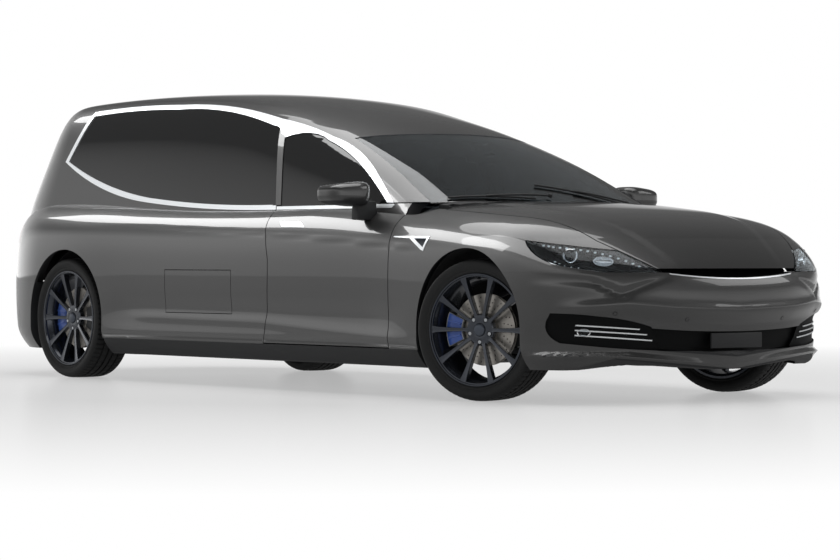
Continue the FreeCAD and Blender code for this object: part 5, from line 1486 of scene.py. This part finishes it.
# round the car the floor is lit paper that takes its shadow; further out it turns into the lit backdrop
FLOOR_GLOW = 0.42       # the backdrop's share under the car, and its strength in reflections
distance = add(tree, "ShaderNodeVectorMath", [(place, "Vector")], operation="LENGTH")
far = add(tree, "ShaderNodeMapRange", [(distance.outputs["Value"], "Value")], From_Min=2.5, From_Max=8.0,
          To_Min=FLOOR_GLOW)
camera_ray = add(tree, "ShaderNodeLightPath").outputs["Is Camera Ray"]
seen_directly = add(tree, "ShaderNodeMapRange", [(camera_ray, "Value")], To_Min=FLOOR_GLOW, To_Max=1.0)
glow = add(tree, "ShaderNodeEmission", [(seen_directly.outputs[0], "Strength")], Color=(1, 1, 1, 1))
blend = add(tree, "ShaderNodeMixShader", [(far.outputs[0], 0), (shader.outputs[0], 1), (glow.outputs[0], 2)])
tree.links.new(blend.outputs[0], next(n for n in tree.nodes if n.type == "OUTPUT_MATERIAL").inputs[0])
floor.data.materials.append(floor_paper)

world = bpy.data.worlds.new("studio")
bpy.context.scene.world = world
world.use_nodes = True
tree = world.node_tree
tree.nodes.clear()
# a white backdrop at the horizon and a dim ceiling above it; the camera sees white all over
BACKDROP_RISE = 0.41        # the backdrop reaches that much higher towards the car's right
heading = add(tree, "ShaderNodeSeparateXYZ", [(add(tree, "ShaderNodeTexCoord").outputs["Generated"], 0)])
sideways = add(tree, "ShaderNodeMath", [(heading.outputs["Y"], 0)], operation="MINIMUM")
sideways.inputs[1].default_value = 0.0
height = add(tree, "ShaderNodeMath", [(sideways.outputs[0], 0), (heading.outputs["Z"], 2)],
             operation="MULTIPLY_ADD")
height.inputs[1].default_value = BACKDROP_RISE
ceiling = add(tree, "ShaderNodeMapRange", [(height.outputs[0], "Value")], From_Min=0.03, From_Max=0.18,
              To_Min=1.0, To_Max=0.14)
low = add(tree, "ShaderNodeMapRange", [(height.outputs[0], "Value")], From_Min=-0.42, From_Max=-0.08,
          To_Min=0.4, To_Max=1.0)
level = add(tree, "ShaderNodeMath", [(ceiling.outputs[0], 0), (low.outputs[0], 1)], operation="MULTIPLY")
# the studio's end walls are a little brighter
for first, last, power in ((-0.87, -0.99, 0.9), (0.75, 0.97, 0.4)):
    wall = add(tree, "ShaderNodeMapRange", [(heading.outputs["X"], "Value")], From_Min=first, From_Max=last,
               To_Min=0.0, To_Max=power)
    level = add(tree, "ShaderNodeMath", [(level.outputs[0], 0), (wall.outputs[0], 1)], operation="ADD")
path = add(tree, "ShaderNodeLightPath")
straight = add(tree, "ShaderNodeMath", [(path.outputs["Is Camera Ray"], 0),
                                        (path.outputs["Is Transmission Ray"], 1)],
               operation="MAXIMUM")
seen = add(tree, "ShaderNodeMath", [(level.outputs[0], 0), (straight.outputs[0], 1)], operation="MAXIMUM")
light = add(tree, "ShaderNodeBackground", [(seen.outputs[0], "Strength")], Color=(1, 1, 1, 1))
tree.links.new(light.outputs[0], add(tree, "ShaderNodeOutputWorld").inputs[0])


def softbox(name, place, aim, size, power, only=None):
    """A rectangular studio lamp facing a point. only: the pieces it lights, as a studio's flags would do."""
    lamp = bpy.data.lights.new(name, "AREA")
    lamp.shape = "RECTANGLE"
    lamp.size, lamp.size_y = size
    lamp.energy = power
    thing = bpy.data.objects.new(name, lamp)
    thing.location = place
    thing.rotation_euler = (Vector(aim) - Vector(place)).to_track_quat("-Z", "Y").to_euler()
    bpy.context.scene.collection.objects.link(thing)
    if only:
        thing.light_linking.receiver_collection = only
    return thing


painted = bpy.data.collections.new("painted_flanks")
for piece in bpy.data.objects:
    if piece.name.startswith(("body_side", "door_skin", "fender_skin", "front_bumper", "rear_bumper",
                              "charge_hatch", "window_surround", "belt_strip", "door_handle",
                              "wing_mark", "nose_slit_line")):
        painted.objects.link(piece)


softbox("overhead_softbox", (0, 0, 6.5), (0, 0, 0), (9.0, 5.0), 330)
softbox("shoulder_softbox", (-6.5, -4.7, 6.5), (-1, 0, 0.8), (9.0, 3.0), 480, painted)
softbox("side_softbox", (-0.5, -5.4, 6.5), (0.5, -0.9, 0.8), (10.0, 5.0), 520, painted)
softbox("front_fill", (7.5, 7.5, 5.5), (1.5, 0, 0.6), (6.0, 4.0), 160)

camera_lens = bpy.data.cameras.new("camera")
camera_lens.lens = 129.5
camera_lens.sensor_width = 36.0
camera_lens.shift_y = 0.0022
camera = bpy.data.objects.new("camera", camera_lens)
camera.location = (13.525, -10.271, 0.707)
look = Vector((-0.789, 0.615, -0.008))
camera.rotation_euler = look.to_track_quat("-Z", "Y").to_euler()
bpy.context.scene.collection.objects.link(camera)
bpy.context.scene.camera = camera
bpy.context.scene.view_settings.view_transform = "Standard"
